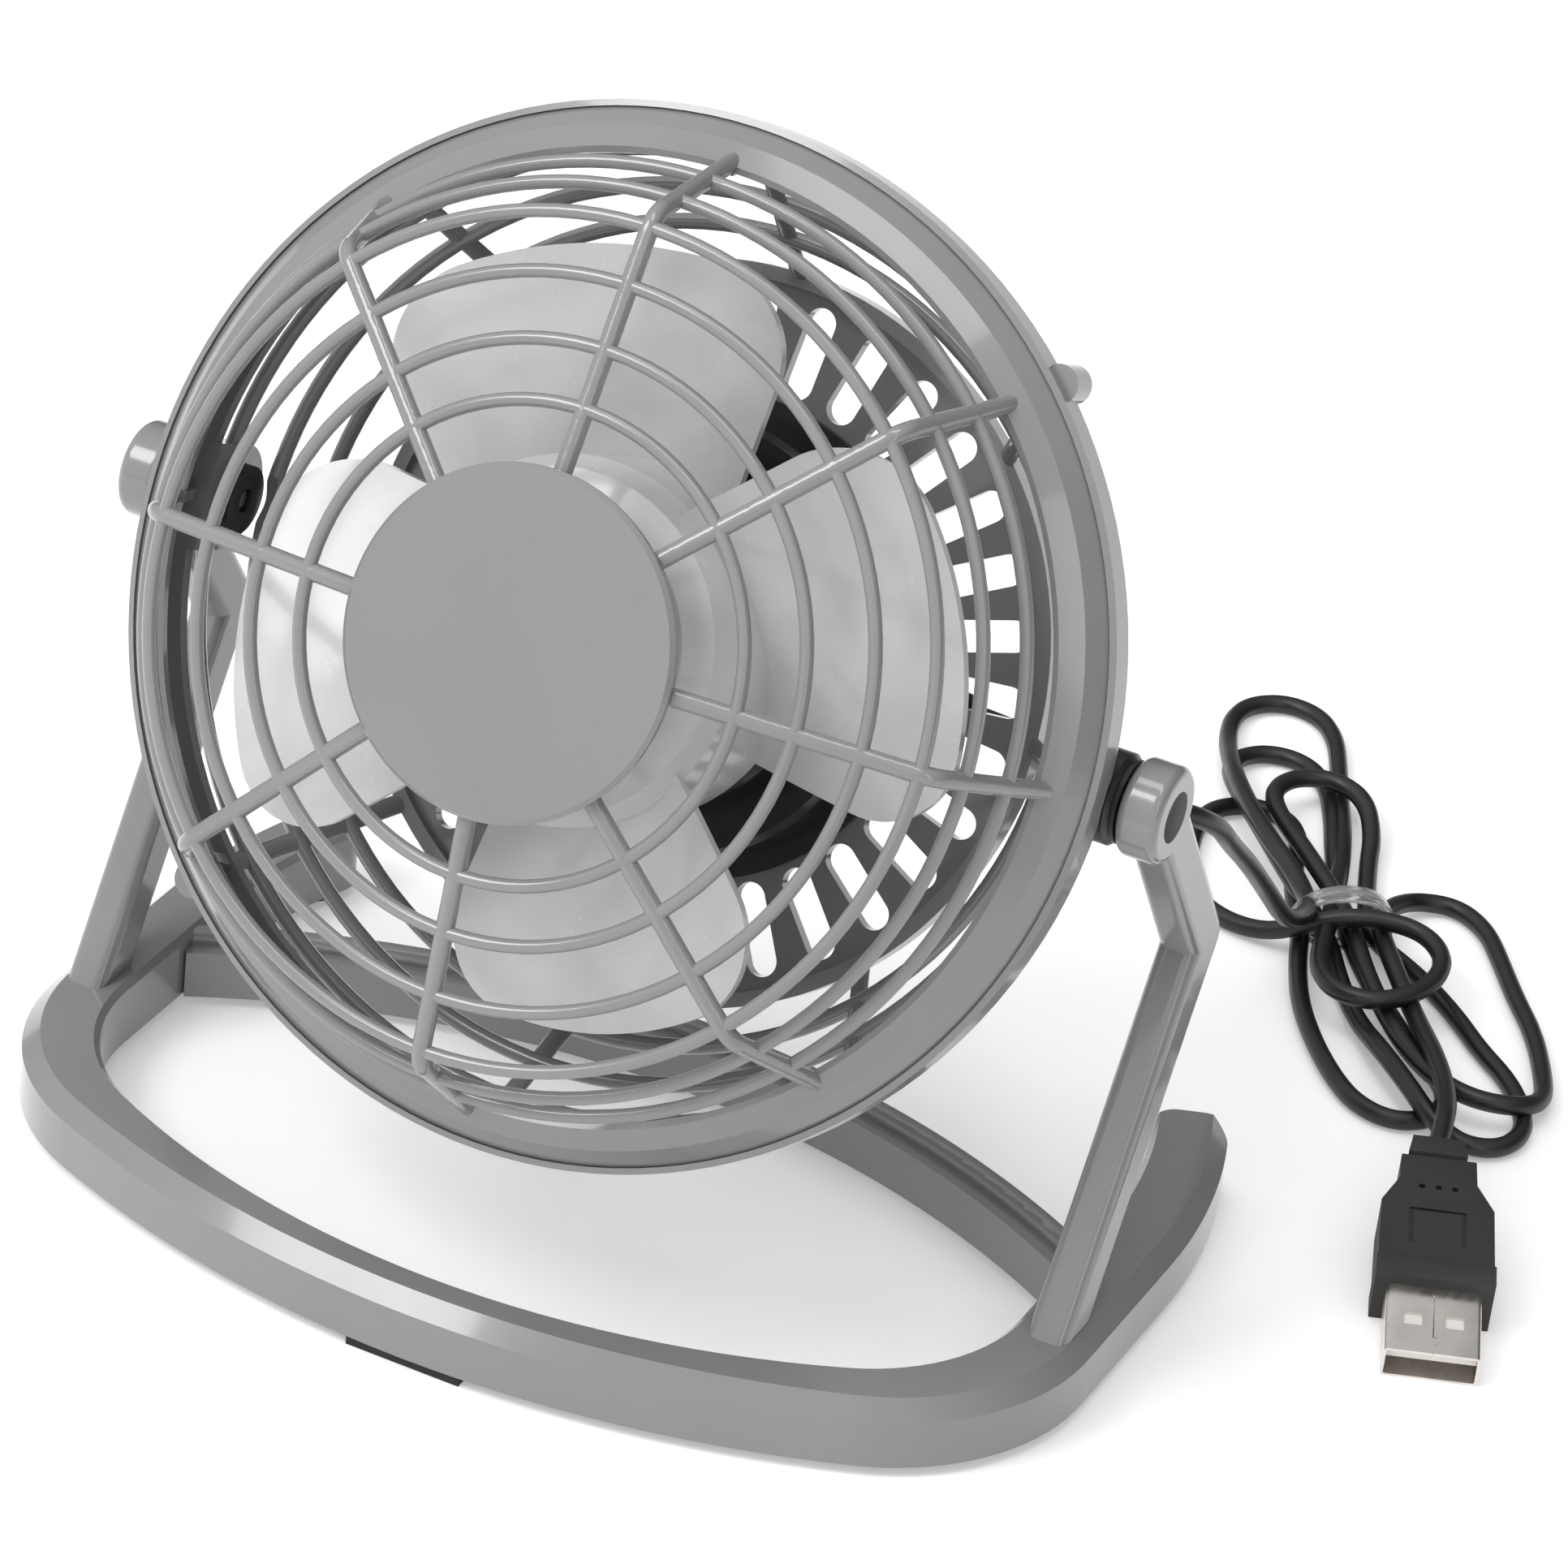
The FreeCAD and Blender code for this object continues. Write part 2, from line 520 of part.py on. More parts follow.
def make_front_grille():
    """One moulding: rim, eight bent spokes with ribs behind their feet, six wires and the hub plate."""
    body = new_body("FrontGrille")
    revolve(body, "Rim", [
        (RIM, "rimFront - rimDepth"),
        (RIM, "rimFront"),
        (RIM + " - lipWidth", "rimFront + 0.3"),
        (RIM + " - lipWidth", "rimFront - 0.2"),
        (CREASE, "rimFront + creaseRise"),
        (RIM_INNER, "rimFront + rimRise"),
        (RIM_INNER + " - rimRoll", "rimFront + rimRise - 0.5 * rimRoll"),
        (RIM_INNER + " - rimRoll", "rimFront + rimRise - rimWall"),
        (CREASE + " - 0.6", "rimFront + creaseRise - rimWall"),
        (RIM + " - rimWall", "rimFront - rimWall"),
        (RIM + " - rimWall", "rimFront - rimDepth")])
    spoke = bent_rod(body, "Spoke", ("hubRadius - 2", "spokeFront"), (BEND, "bendFront"),
                     (SPOKE_FOOT, "spokeFootFront"), "bendRounding", "spokeRadius")
    ribs = new_sketch(body, "RibProfile", "XZ_Plane", "0.5 * ribThickness")
    add_polygon(ribs, [
        (RIM_INNER + " - 1.2", "rimFront + rimRise - 0.6"),
        (RIM_INNER + " + 1.6", "rimFront + rimRise - 1"),
        (RIM + " - rimWall - 0.6", "rimFront - 0.6"),
        (GUARD_INNER + " - 0.4", "rimFront - 0.6"),
        (GUARD_INNER + " - 0.4", "rimFront + rimRise - rimWall - ribDepth"),
        (RIM_INNER + " + 0.4", "rimFront + rimRise - rimWall - ribDepth")])
    rib = pad(body, "Rib", ribs, "ribThickness", True)
    polar(body, "Spokes", [spoke, rib], "spokeCount")
    lugs = new_sketch(body, "LugProfile", "XY_Plane", "rimFront - rimDepth")
    add_circle(lugs, "lugRadius", LUG_SIDE, LUG_SIDE)
    lug = pad(body, "Lug", lugs, "0.6 * lugThickness")
    holes = new_sketch(body, "LugHoleProfile", "XY_Plane", "rimFront - rimDepth - 1")
    add_circle(holes, "0.5 * lugScrewDiameter + screwFit", LUG_SIDE, LUG_SIDE)
    hole = pocket(body, "LugHole", holes, "1 + 0.5 * lugThickness", True)
    polar(body, "Lugs", [lug, hole], PAIR)
    hub = new_sketch(body, "HubProfile", "XY_Plane", "spokeFront - 0.5 * hubThickness")
    add_circle(hub, "hubRadius")
    pad(body, "Hub", hub, "hubThickness")
    for number, ring in enumerate(("ringOne", "ringTwo", "ringThree", "ringFour"), 1):
        torus(body, f"Ring{number}", ring, "wireRadius", str(round(line_at(ring), 4)))
    for number, ring in enumerate((BEND + " + ringFiveGap", BEND + " + ringSixGap"), 5):
        torus(body, f"Ring{number}", ring, "wireRadius", str(round(side_at(ring), 4)))
    keep("front_grille", on_head(body))
    keep("hub_badge", on_head(turned("HubBadge", [
        ("0", "spokeFront + 0.5 * hubThickness"),
        ("badgeRadius", "spokeFront + 0.5 * hubThickness"),
        ("badgeRadius", "spokeFront + 0.5 * hubThickness + badgeThickness - badgeRounding"),
        ("badgeRadius - badgeRounding", "spokeFront + 0.5 * hubThickness + badgeThickness"),
        ("0", "spokeFront + 0.5 * hubThickness + badgeThickness")])))


def make_rear_guard():
    """Ring under the rim, eight spokes, three wires, the slotted plate at the back and the two pivot ears."""
    body = new_body("RearGuard")
    seat = "rimFront - rimDepth"
    upstand = "rimFront - rimWall - 0.3"
    revolve(body, "Ring", [
        (GUARD_FLANGE, seat + " - guardWall"),
        (RIM + " - guardLip", seat + " - guardWall"),
        (RIM + " - guardLip", seat),
        (RIM + " - rimWall - guardClearance", seat),
        (RIM + " - rimWall - guardClearance", upstand),
        (GUARD_INNER, upstand),
        (GUARD_INNER, seat),
        (GUARD_FLANGE, seat)])
    revolve(body, "Plate", [
        (PLATE_HOLE, "0 - plateFront"),
        (PLATE_HOLE, "0 - plateFront - plateThickness"),
        ("plateRadius", "0 - plateFront - plateThickness"),
        ("plateRadius", "plateLip - plateFront"),
        ("plateRadius - guardWall", "plateLip - plateFront"),
        ("plateRadius - guardWall", "0 - plateFront")])
    spoke = straight_rod(body, "Spoke", (GUARD_FOOT_REACH, "guardFoot"),
                         ("plateRadius - 1", "0 - plateFront"), "rearSpokeRadius")
    polar(body, "Spokes", [spoke], "spokeCount")
    drop = amount("guardFoot + plateFront") / amount(GUARD_FOOT_REACH + " - plateRadius + 1")
    for number, inset in enumerate(("rearRingOneInset", "rearRingTwoInset", "rearRingThreeInset"), 1):
        height = amount("guardFoot") - drop * (amount(inset) - amount("guardFootInset"))
        torus(body, f"Ring{number}", f"{RIM} - {inset}", "rearWireRadius", str(round(height, 4)))
    disc = new_sketch(body, "EarProfile", "YZ_Plane", EAR)
    add_circle(disc, "0.5 * earDiameter")
    ear = pad(body, "Ear", disc, "earThickness")
    web = new_sketch(body, "WebProfile", "YZ_Plane", EAR)
    add_polygon(web, [("0 - 0.5 * earDiameter", "0"), ("0.5 * earDiameter", "0"),
                      ("0.5 * earDiameter", seat), ("0 - 0.5 * earDiameter", seat)])
    tab = pad(body, "Web", web, "earThickness")
    neck = new_sketch(body, "NeckProfile", "YZ_Plane", EAR + " - 1")
    add_circle(neck, "0.5 * bossNeck + screwFit")
    neck_hole = pocket(body, "NeckHole", neck, "earThickness + 1.6", True)
    relief = new_sketch(body, "BossProfile", "YZ_Plane", EAR_OUTER)
    add_circle(relief, "0.5 * bossDiameter + 0.3")
    boss_space = pocket(body, "BossSpace", relief, "2 * lugThickness", True)
    flange = new_sketch(body, "FlangeProfile", "YZ_Plane", BOSS_INNER + " - 2")
    add_circle(flange, "0.5 * bossNeck + 1.5")
    flange_space = pocket(body, "FlangeSpace", flange, "bossFlange + 2", True)
    polar(body, "Ears", [ear, tab, neck_hole, boss_space, flange_space], PAIR)
    lugs = new_sketch(body, "LugProfile", "XY_Plane", "rimFront - rimDepth - lugThickness")
    add_circle(lugs, "lugRadius", LUG_SIDE, LUG_SIDE)
    lug = pad(body, "Lug", lugs, "lugThickness")
    holes = new_sketch(body, "LugHoleProfile", "XY_Plane", "rimFront - rimDepth - lugThickness - 1")
    add_circle(holes, "0.5 * lugScrewDiameter + screwFit", LUG_SIDE, LUG_SIDE)
    hole = pocket(body, "LugHole", holes, "1.5 * lugThickness + 1", True)
    seats = new_sketch(body, "LugSeatProfile", "XY_Plane", "rimFront - rimDepth")
    add_circle(seats, "lugRadius + guardClearance", LUG_SIDE, LUG_SIDE)
    lug_seat = pocket(body, "LugSeat", seats, "lugThickness", True)
    polar(body, "Lugs", [lug, hole, lug_seat], PAIR)
    slots = new_sketch(body, "SlotProfile", "XY_Plane")
    half_step = 180 / amount("slotCount")
    slots.AttachmentOffset = Placement(Vector(0, 0, 0), Rotation(Vector(0, 0, 1), half_step))
    bind(slots, AttachmentOffset__Base__z="0 - plateFront - plateThickness - 1")
    add_slot(slots, PLATE_HOLE + " + slotRim", "slotOuter", "slotWidth")
    slot = pocket(body, "Slot", slots, "plateThickness + 1.6", True)
    polar(body, "Slots", [slot], "slotCount")
    keep("rear_guard", on_head(body))


def on_axis(name, corners):
    """A body turned round the tilt axis: corners are pairs (x, radius)."""
    body = new_body(name)
    revolve(body, name + "Turn", corners, "H_Axis")
    return body


def mirrored_node(node, source):
    """The same piece on the other side of the fan."""
    thing = doc.addObject("Part::Mirroring", node.title().replace("_", ""))
    thing.Source = source
    thing.Normal = Vector(1, 0, 0)
    return keep(node, thing)


def make_pivots():
    """On each side: a bushing clipped in the guard's ear, a washer, and the screw that is the tilt pin."""
    bore = "0.5 * pivotScrewDiameter + screwFit"
    bushing = keep("pivot_boss_right", on_head(on_axis("PivotBoss", [
        (BOSS_INNER, bore),
        (BOSS_INNER, "0.5 * bossNeck + 1.2"),
        (EAR, "0.5 * bossNeck + 1.2"),
        (EAR, "0.5 * bossNeck"),
        (EAR_OUTER, "0.5 * bossNeck"),
        (EAR_OUTER, "0.5 * bossDiameter"),
        (BOSS_OUTER + " - bossChamfer", "0.5 * bossDiameter"),
        (BOSS_OUTER, "0.5 * bossDiameter - bossChamfer"),
        (BOSS_OUTER, bore)])))
    washer = keep("washer_right", on_head(on_axis("Washer", [
        (BOSS_OUTER, bore),
        (BOSS_OUTER, "0.5 * washerDiameter"),
        (BOSS_OUTER + " + washerThickness", "0.5 * washerDiameter"),
        (BOSS_OUTER + " + washerThickness", bore)])))
    seat = EYE_OUTER + " - recessDepth + 0.3"
    pin = keep("pivot_screw_right", on_head(on_axis("PivotScrew", [
        (BOSS_INNER + " + 0.5", "0"),
        (BOSS_INNER + " + 0.5", "0.5 * pivotScrewDiameter"),
        (seat, "0.5 * pivotScrewDiameter"),
        (seat, "0.5 * pivotScrewHead"),
        (seat + " + pivotHeadHeight - 0.5", "0.5 * pivotScrewHead"),
        (seat + " + pivotHeadHeight", "0.5 * pivotScrewHead - 0.5"),
        (seat + " + pivotHeadHeight", "pivotSocketRadius"),
        (seat + " + 0.6", "0.5 * pivotSocketRadius"),
        (seat + " + 0.6", "0")])))
    for node, source in (("pivot_boss_left", bushing), ("washer_left", washer), ("pivot_screw_left", pin)):
        mirrored_node(node, source)


def screw(name, diameter, head, head_height, length):
    """A pan-head screw pointing along +z, with the seat of its head at its origin."""
    return turned(name, [
        ("0", "0 - " + head_height), ("0.5 * " + head + " - 0.4", "0 - " + head_height),
        ("0.5 * " + head, "0.4 - " + head_height), ("0.5 * " + head, "0"),
        ("0.5 * " + diameter, "0"), ("0.5 * " + diameter, length), ("0", length)])


def make_guard_screws():
    """The two screws that hold the rear guard to the front grille at its lugs."""
    for node, sign in (("guard_screw_upper", "1 * "), ("guard_screw_lower", "-1 * ")):
        body = screw("GuardScrew", "lugScrewDiameter", "lugScrewHead", "lugHeadHeight", "1.4 * lugThickness")
        side = f"{sign}({LUG_SIDE})"
        keep(node, on_head(body, side, "rimFront - rimDepth - lugThickness"))
        bind(body, Placement__Base__x=side)


# ---- head: motor pod -------------------------------------------------------

def make_motor_housing():
    """Black cup through the guard's plate, with the motor's sleeve and three posts for the cover's screws."""
    sleeve = "0.5 * motorDiameter + screwFit"
    floor = MOTOR_FRONT
    body = new_body("MotorHousing")
    revolve(body, "Cup", [
        ("motorNose + guardClearance", "0 - podStepFront"),
        ("podStepRadius - podEdge", "0 - podStepFront"),
        ("podStepRadius", "0 - podStepFront - podEdge"),
        ("podStepRadius", "0 - podFront"),
        ("podRadius - podEdge", "0 - podFront"),
        ("podRadius", "0 - podFront - podEdge"),
        ("podRadius", "podFlangeThickness - plateFront"),
        (POD_FLANGE, "podFlangeThickness - plateFront"),
        (POD_FLANGE, "0 - plateFront"),
        ("podRadius", "0 - plateFront"),
        ("podRadius", "0 - plateFront - plateThickness"),
        ("podRadius - podWall", "0 - plateFront - plateThickness"),
        ("podRadius - podWall", "0 - podFront - podWall"),
        ("podStepRadius - podWall", "0 - podFront - podWall"),
        ("podStepRadius - podWall", floor),
        (sleeve + " + sleeveWall", floor),
        (sleeve + " + sleeveWall", floor + " - sleeveLength"),
        (sleeve, floor + " - sleeveLength"),
        (sleeve, floor),
        ("motorNose + guardClearance", floor)])
    posts = new_sketch(body, "PostProfile", "XY_Plane", "podWall + guardClearance - coverBack")
    add_circle(posts, "podPostRadius", "0", POD_SCREW_REACH)
    add_circle(posts, "0.5 * podScrewDiameter + screwFit", "0", POD_SCREW_REACH)
    post = pad(body, "Post", posts, "coverBack - podWall - guardClearance - podFront - 0.5 * podWall")
    polar(body, "Posts", [post], "podScrewCount")
    keep("motor_housing", on_head(body))


def make_rear_cover():
    """Shallow dish over the back of the motor, with openings for the switch, the cord and three screws."""
    body = new_body("RearCover")
    back = "0 - coverBack"
    revolve(body, "Dish", [
        (COVER + " - podWall", "0 - plateFront - plateThickness"),
        (COVER, "0 - plateFront - plateThickness"),
        (COVER + " - coverTaper", back + " + coverRounding"),
        (COVER + " - coverTaper - 0.3 * coverRounding", back + " + 0.3 * coverRounding"),
        (COVER + " - coverTaper - coverRounding", back),
        ("0", back),
        ("0", back + " + podWall"),
        (COVER + " - coverTaper - coverRounding", back + " + podWall"),
        (COVER + " - coverTaper - podWall", back + " + coverRounding + 0.6")])
    window = new_sketch(body, "SwitchWindow", "XY_Plane", back + " - 1")
    half_x = "0.5 * switchWidth - bezelStep + guardClearance"
    half_y = "0.5 * switchLength - bezelStep + guardClearance"
    opposite_x = "bezelStep - guardClearance - 0.5 * switchWidth"
    opposite_y = "bezelStep - guardClearance - 0.5 * switchLength"
    add_polygon(window, [(half_x, half_y), (opposite_x, half_y),
                         (opposite_x, opposite_y), (half_x, opposite_y)])
    pocket(body, "Window", window, "podWall + 2", True)
    entry = new_sketch(body, "CordEntryProfile", "YZ_Plane", "0.5 * podRadius")
    add_circle(entry, "glandNeck + guardClearance", "0", "0 - glandAxis")
    pocket(body, "CordEntry", entry, COVER, True)
    holes = new_sketch(body, "ScrewHoleProfile", "XY_Plane", back + " - 1")
    add_circle(holes, "0.5 * podScrewDiameter + guardClearance", "0", POD_SCREW_REACH)
    hole = pocket(body, "ScrewHole", holes, "podWall + 2", True)
    polar(body, "ScrewHoles", [hole], "podScrewCount")
    keep("rear_cover", on_head(body))


def make_housing_screws():
    """Three screws through the cover into the posts, at equal angles."""
    for number, node in enumerate(("housing_screw_top", "housing_screw_left", "housing_screw_right")):
        body = screw("HousingScrew", "podScrewDiameter", "podScrewHead", "podHeadHeight", "podScrewLength")
        turn = math.radians(90 + 360 / amount("podScrewCount") * number)
        keep(node, on_head(body, f"{round(math.sin(turn), 5)} * ({POD_SCREW_REACH})", "0 - coverBack"))
        bind(body, Placement__Base__x=f"{round(math.cos(turn), 5)} * ({POD_SCREW_REACH})")


def make_motor():
    """Can, magnet ring and end cap, which stay with the head."""
    front, back = MOTOR_FRONT, MOTOR_BACK
    outer = "0.5 * motorDiameter"
    bearing = "0.5 * shaftDiameter + bearingClearance"
    keep("motor_can", on_head(turned("MotorCan", [
        (bearing, front + " + motorNoseLength"), ("motorNose", front + " + motorNoseLength"),
        ("motorNose", front), (outer, front), (outer, back), (outer + " - motorWall", back),
        (outer + " - motorWall", front + " - motorWall"), (bearing, front + " - motorWall")])))
    ring = outer + " - motorWall"
    start = front + " - motorWall - magnetGap"
    keep("motor_magnets", on_head(turned("Magnets", [
        (ring, start), (ring, start + " - magnetLength"),
        (ring + " - magnetThickness", start + " - magnetLength"),
        (ring + " - magnetThickness", start)])))
    cap = turned("EndCap", [
        (bearing, back), (outer, back),
        (outer, back + " - endCapThickness"), (bearing, back + " - endCapThickness")])
    tags = new_sketch(cap, "TagProfile", "XY_Plane", back + " - endCapThickness - terminalLength")
    near, far = "terminalReach", "terminalReach + terminalThickness"
    low, high = "0 - 0.5 * terminalWidth", "0.5 * terminalWidth"
    add_polygon(tags, [(near, low), (far, low), (far, high), (near, high)])
    tag = pad(cap, "Tag", tags, "terminalLength + 0.5 * endCapThickness")
    polar(cap, "Tags", [tag], PAIR)
    keep("motor_end_cap", on_head(cap))


def make_rotor():
    """Shaft, iron core and commutator, which turn with the impeller."""
    front, back = MOTOR_FRONT, MOTOR_BACK
    keep("motor_shaft", on_head(turned("Shaft", [
        ("0", back + " - 0.8 * endCapThickness"), ("0.5 * shaftDiameter", back + " - 0.8 * endCapThickness"),
        ("0.5 * shaftDiameter", "shaftFront"), ("0", "shaftFront")])))
    core = front + " - motorWall - magnetGap - coreGap"
    keep("rotor_core", on_head(turned("Core", [
        ("0.5 * shaftDiameter", core), ("rotorRadius", core), ("rotorRadius", core + " - rotorLength"),
        ("0.5 * shaftDiameter", core + " - rotorLength")])))
    brush = core + " - rotorLength"
    keep("commutator", on_head(turned("Commutator", [
        ("0.5 * shaftDiameter", brush), ("commutatorRadius", brush),
        ("commutatorRadius", brush + " - commutatorLength"),
        ("0.5 * shaftDiameter", brush + " - commutatorLength")])))


# ---- impeller --------------------------------------------------------------

def helix_curve(radius, start, end, count=13):
    """A curve round the z axis whose height rises in step with its angle, in degrees."""
    middle, rise = amount("bladeMiddle"), amount("bladeTwist")
    points = []
    for i in range(count):
        degrees = start + (end - start) * i / (count - 1)
        turn = math.radians(degrees)
        points.append(Vector(radius * math.cos(turn), radius * math.sin(turn), middle + rise * degrees))
    curve = Part.BSplineCurve()
    curve.interpolate(points)
    return curve.toShape()


def blade_outline():
    """Outline of one blade seen from the front, symmetric about the x axis, with rounded tip corners."""
    root_radius, tip_radius = amount("fanHubRadius - 0.5 * fanHubWall"), amount("tipRadius")
    root, tip = amount("0.5 * bladeRootSpan"), amount("0.5 * bladeTipSpan")

    def at(radius, degrees):
        turn = math.radians(degrees)
        return Vector(radius * math.cos(turn), radius * math.sin(turn), 0)
    edges = [Part.Arc(at(root_radius, -root), at(root_radius, 0), at(root_radius, root)).toShape(),
             Part.LineSegment(at(root_radius, root), at(tip_radius, tip)).toShape(),
             Part.Arc(at(tip_radius, tip), at(tip_radius, 0), at(tip_radius, -tip)).toShape(),
             Part.LineSegment(at(tip_radius, -tip), at(root_radius, -root)).toShape()]
    prism = Part.Face(Part.Wire(edges)).extrude(Vector(0, 0, 2 * amount("fanHubFront")))
    corners = [e for e in prism.Edges if abs(e.tangentAt(e.FirstParameter).z) > 0.99
               and e.CenterOfMass.x ** 2 + e.CenterOfMass.y ** 2 > (0.9 * tip_radius) ** 2]
    return prism.makeFillet(amount("bladeCorner"), corners)


def make_impeller():
    """Hub with its shaft boss, and four twisted blades."""
    boss_bore = "0.5 * shaftDiameter + pressFit"
    wall = "fanHubFront - fanHubWall"
    hub = turned("FanHub", [
        ("0", "fanHubFront"),
        ("fanHubRadius - fanHubRounding", "fanHubFront"),
        ("fanHubRadius - 0.3 * fanHubRounding", "fanHubFront - 0.3 * fanHubRounding"),
        ("fanHubRadius", "fanHubFront - fanHubRounding"),
        ("fanHubRadius", "fanHubBack"),
        ("fanHubRadius - fanHubWall", "fanHubBack"),
        ("fanHubRadius - fanHubWall", wall + " - fanHubRounding"),
        ("fanHubRadius - fanHubRounding - 0.5", wall),
        ("fanBossRadius", wall),
        ("fanBossRadius", "fanHubBack + fanBossStep"),
        (boss_bore, "fanHubBack + fanBossStep"),
        (boss_bore, "shaftFront + guardClearance"),
        ("0", "shaftFront + guardClearance")])
    reach = amount("0.5 * bladeRootSpan") + 5
    inner = helix_curve(amount("fanHubRadius - fanHubWall"), -reach, reach)
    outer = helix_curve(amount("tipRadius + 3"), -reach, reach)
    sheet_of_blade = Part.makeRuledSurface(inner, outer)
    slab = sheet_of_blade.extrude(Vector(0, 0, amount("bladeThickness")))
    slab.translate(Vector(0, 0, -0.5 * amount("bladeThickness")))
    solid = Part.Solid(slab) if slab.ShapeType == "Shell" else slab
    blade = solid.common(blade_outline())
    step = 360 / amount("bladeCount")
    blades = []
    for number in range(round(amount("bladeCount"))):
        copy = blade.copy()
        copy.rotate(Vector(0, 0, 0), Vector(0, 0, 1), amount("bladeStart") + step * number)
        blades.append(copy)
    set_of_blades = doc.addObject("Part::Feature", "Blades")
    set_of_blades.Shape = Part.makeCompound(blades)
    doc.recompute()
    impeller = doc.addObject("Part::Fuse", "Impeller")
    impeller.Base = hub
    impeller.Tool = set_of_blades
    keep("impeller", on_head(impeller))


# ---- switch and cord gland -------------------------------------------------

def make_switch():
    """Rocker switch in the middle of the cover: a bezel with its body, and the rocker on two pins."""
    back = "0 - coverBack"
    body = new_body("SwitchBody")
    bezel = new_sketch(body, "BezelProfile", "XY_Plane", back + " - switchFlange")
    add_polygon(bezel, box_corners("switchWidth", "switchLength"))
    pad(body, "Bezel", bezel, "switchFlange")
    inner = new_sketch(body, "CaseProfile", "XY_Plane", back)
    add_polygon(inner, box_corners("switchWidth", "switchLength", "bezelStep"))
    pad(body, "Case", inner, "switchDepth")
    well = new_sketch(body, "WellProfile", "XY_Plane", back + " - switchFlange - 1")
    add_polygon(well, box_corners("switchWidth", "switchLength", "bezelWall"))
    pocket(body, "Well", well, "switchFlange + switchDepth", True)
    pins = new_sketch(body, "PinHoleProfile", "YZ_Plane", "0 - switchWidth")
    add_circle(pins, "rockerPin + bearingClearance", "0", "0 - rockerAxis")
    pocket(body, "PinHoles", pins, "2 * switchWidth", True)
    keep("switch_body", on_head(body))

    rocker = new_body("Rocker")
    side = new_sketch(rocker, "RockerProfile", "YZ_Plane", "bezelWall + rockerGap - 0.5 * switchWidth")
    end = "0.5 * switchLength - bezelWall - 2 * rockerGap"
    start = "bezelWall + 2 * rockerGap - 0.5 * switchLength"
    crest = "0 - rockerFace - 0.5 * rockerRise"
    add_polygon(side, [(start, crest), (start, "0.5"), ("0.5 * rockerPin - 3", "rockerKeel"),
                       ("3 - 0.5 * rockerPin", "rockerKeel"), (end, "0.5"), (end, crest),
                       ("0", "0 - rockerFace")])
    pad(rocker, "Paddle", side, "switchWidth - 2 * bezelWall - 2 * rockerGap")
    axle = new_sketch(rocker, "AxleProfile", "YZ_Plane", "bezelWall - 0.5 * switchWidth - rockerPinReach")
    add_circle(axle, "rockerPin")
    pad(rocker, "Axle", axle, "switchWidth - 2 * bezelWall + 2 * rockerPinReach")
    keep("rocker", on_head(rocker, "0", "0 - rockerAxis", "0.5 * rockerTravel"))


def make_gland():
    """Stepped strain relief of the cord, in the cover's side wall."""
    inside = COVER + " - coverTaper - podWall - 1.6"
    wall = COVER + " - coverTaper - 1.2"
    keep("cord_gland", on_head(on_axis("Gland", [
        (inside, "0"), (inside, "glandNeck + 0.8"), (wall + " - 1.1", "glandNeck + 0.8"),
        (wall + " - 1.1", "glandNeck"), (wall + " + 2.3", "glandNeck"), (wall + " + 2.3", "glandBase"),
        (wall + " + 3.6", "glandBase"), (wall + " + 4.1", "glandBase - 0.6"),
        (GLAND_END, "glandTip"), (GLAND_END, "0")]), "0", "0 - glandAxis"))


# ---- cord, its hank, tie and plug ------------------------------------------

# Route points are given round the tilt axis: x, y behind it, z above the floor.
JOINT = Vector(56.0, 36.0, 58.0)
LEAD_BEND = Vector(41.0, 24.7, 68.7)
DROP_ROUTE = [Vector(58.6, 54.0, 44.8), Vector(56.6, 68.0, 34.0), Vector(55.0, 82.0, 21.8),
              Vector(54.0, 91.5, 12.4), Vector(53.1, 97.9, 7.0)]
HANK_OUTLINE = [
    (20, 158), (24, 164), (33, 161), (42, 149), (50, 134), (57, 122), (62, 128), (68, 127),
    (78, 116), (88, 101), (95, 90), (94, 78), (85, 73), (76, 71), (66, 77), (58, 88), (53, 99.4),
    (43, 100), (36, 107), (30, 118), (28, 130), (23, 142),
]
TIE_CENTRE = Vector(56.0, 109.5, 0.0)
TIE_TURN = 125.0
PLUG_NOSE = Vector(106.0, 22.0, 0.0)
PLUG_HEADING = Vector(0.385, -0.923, 0.0)


def joint_direction():
    """Direction of the cord where it passes from the head to the stand: square to the tilt's motion."""
    radial = JOINT - Vector(JOINT.x, 0, amount(PIVOT_HEIGHT))
    return (Vector(0.5, 0, 0) + radial.normalize() * 0.866).normalize()


def tube(points):
    """A round tube along straight runs, joined by tangent arcs as long as nearly half the shorter run."""
    edges, start = [], points[0]
    for before, corner, after in zip(points, points[1:], points[2:]):
        back, ahead = (before - corner), (after - corner)
        reach = 0.45 * min(back.Length, ahead.Length)
        back.normalize()
        ahead.normalize()
        turn = math.pi - back.getAngle(ahead)
        radius = reach / math.tan(0.5 * turn)
        first, last = corner + back * reach, corner + ahead * reach
        middle = corner + (back + ahead).normalize() * (radius / math.cos(0.5 * turn) - radius)
        edges.append(Part.LineSegment(start, first).toShape())
        edges.append(Part.Arc(first, middle, last).toShape())
        start = last
    edges.append(Part.LineSegment(start, points[-1]).toShape())
    spine = Part.Wire(edges)
    section = Part.Wire(Part.makeCircle(amount("0.5 * cordDiameter"), points[0], points[1] - points[0]))
    return spine.makePipeShell([section], True, False)


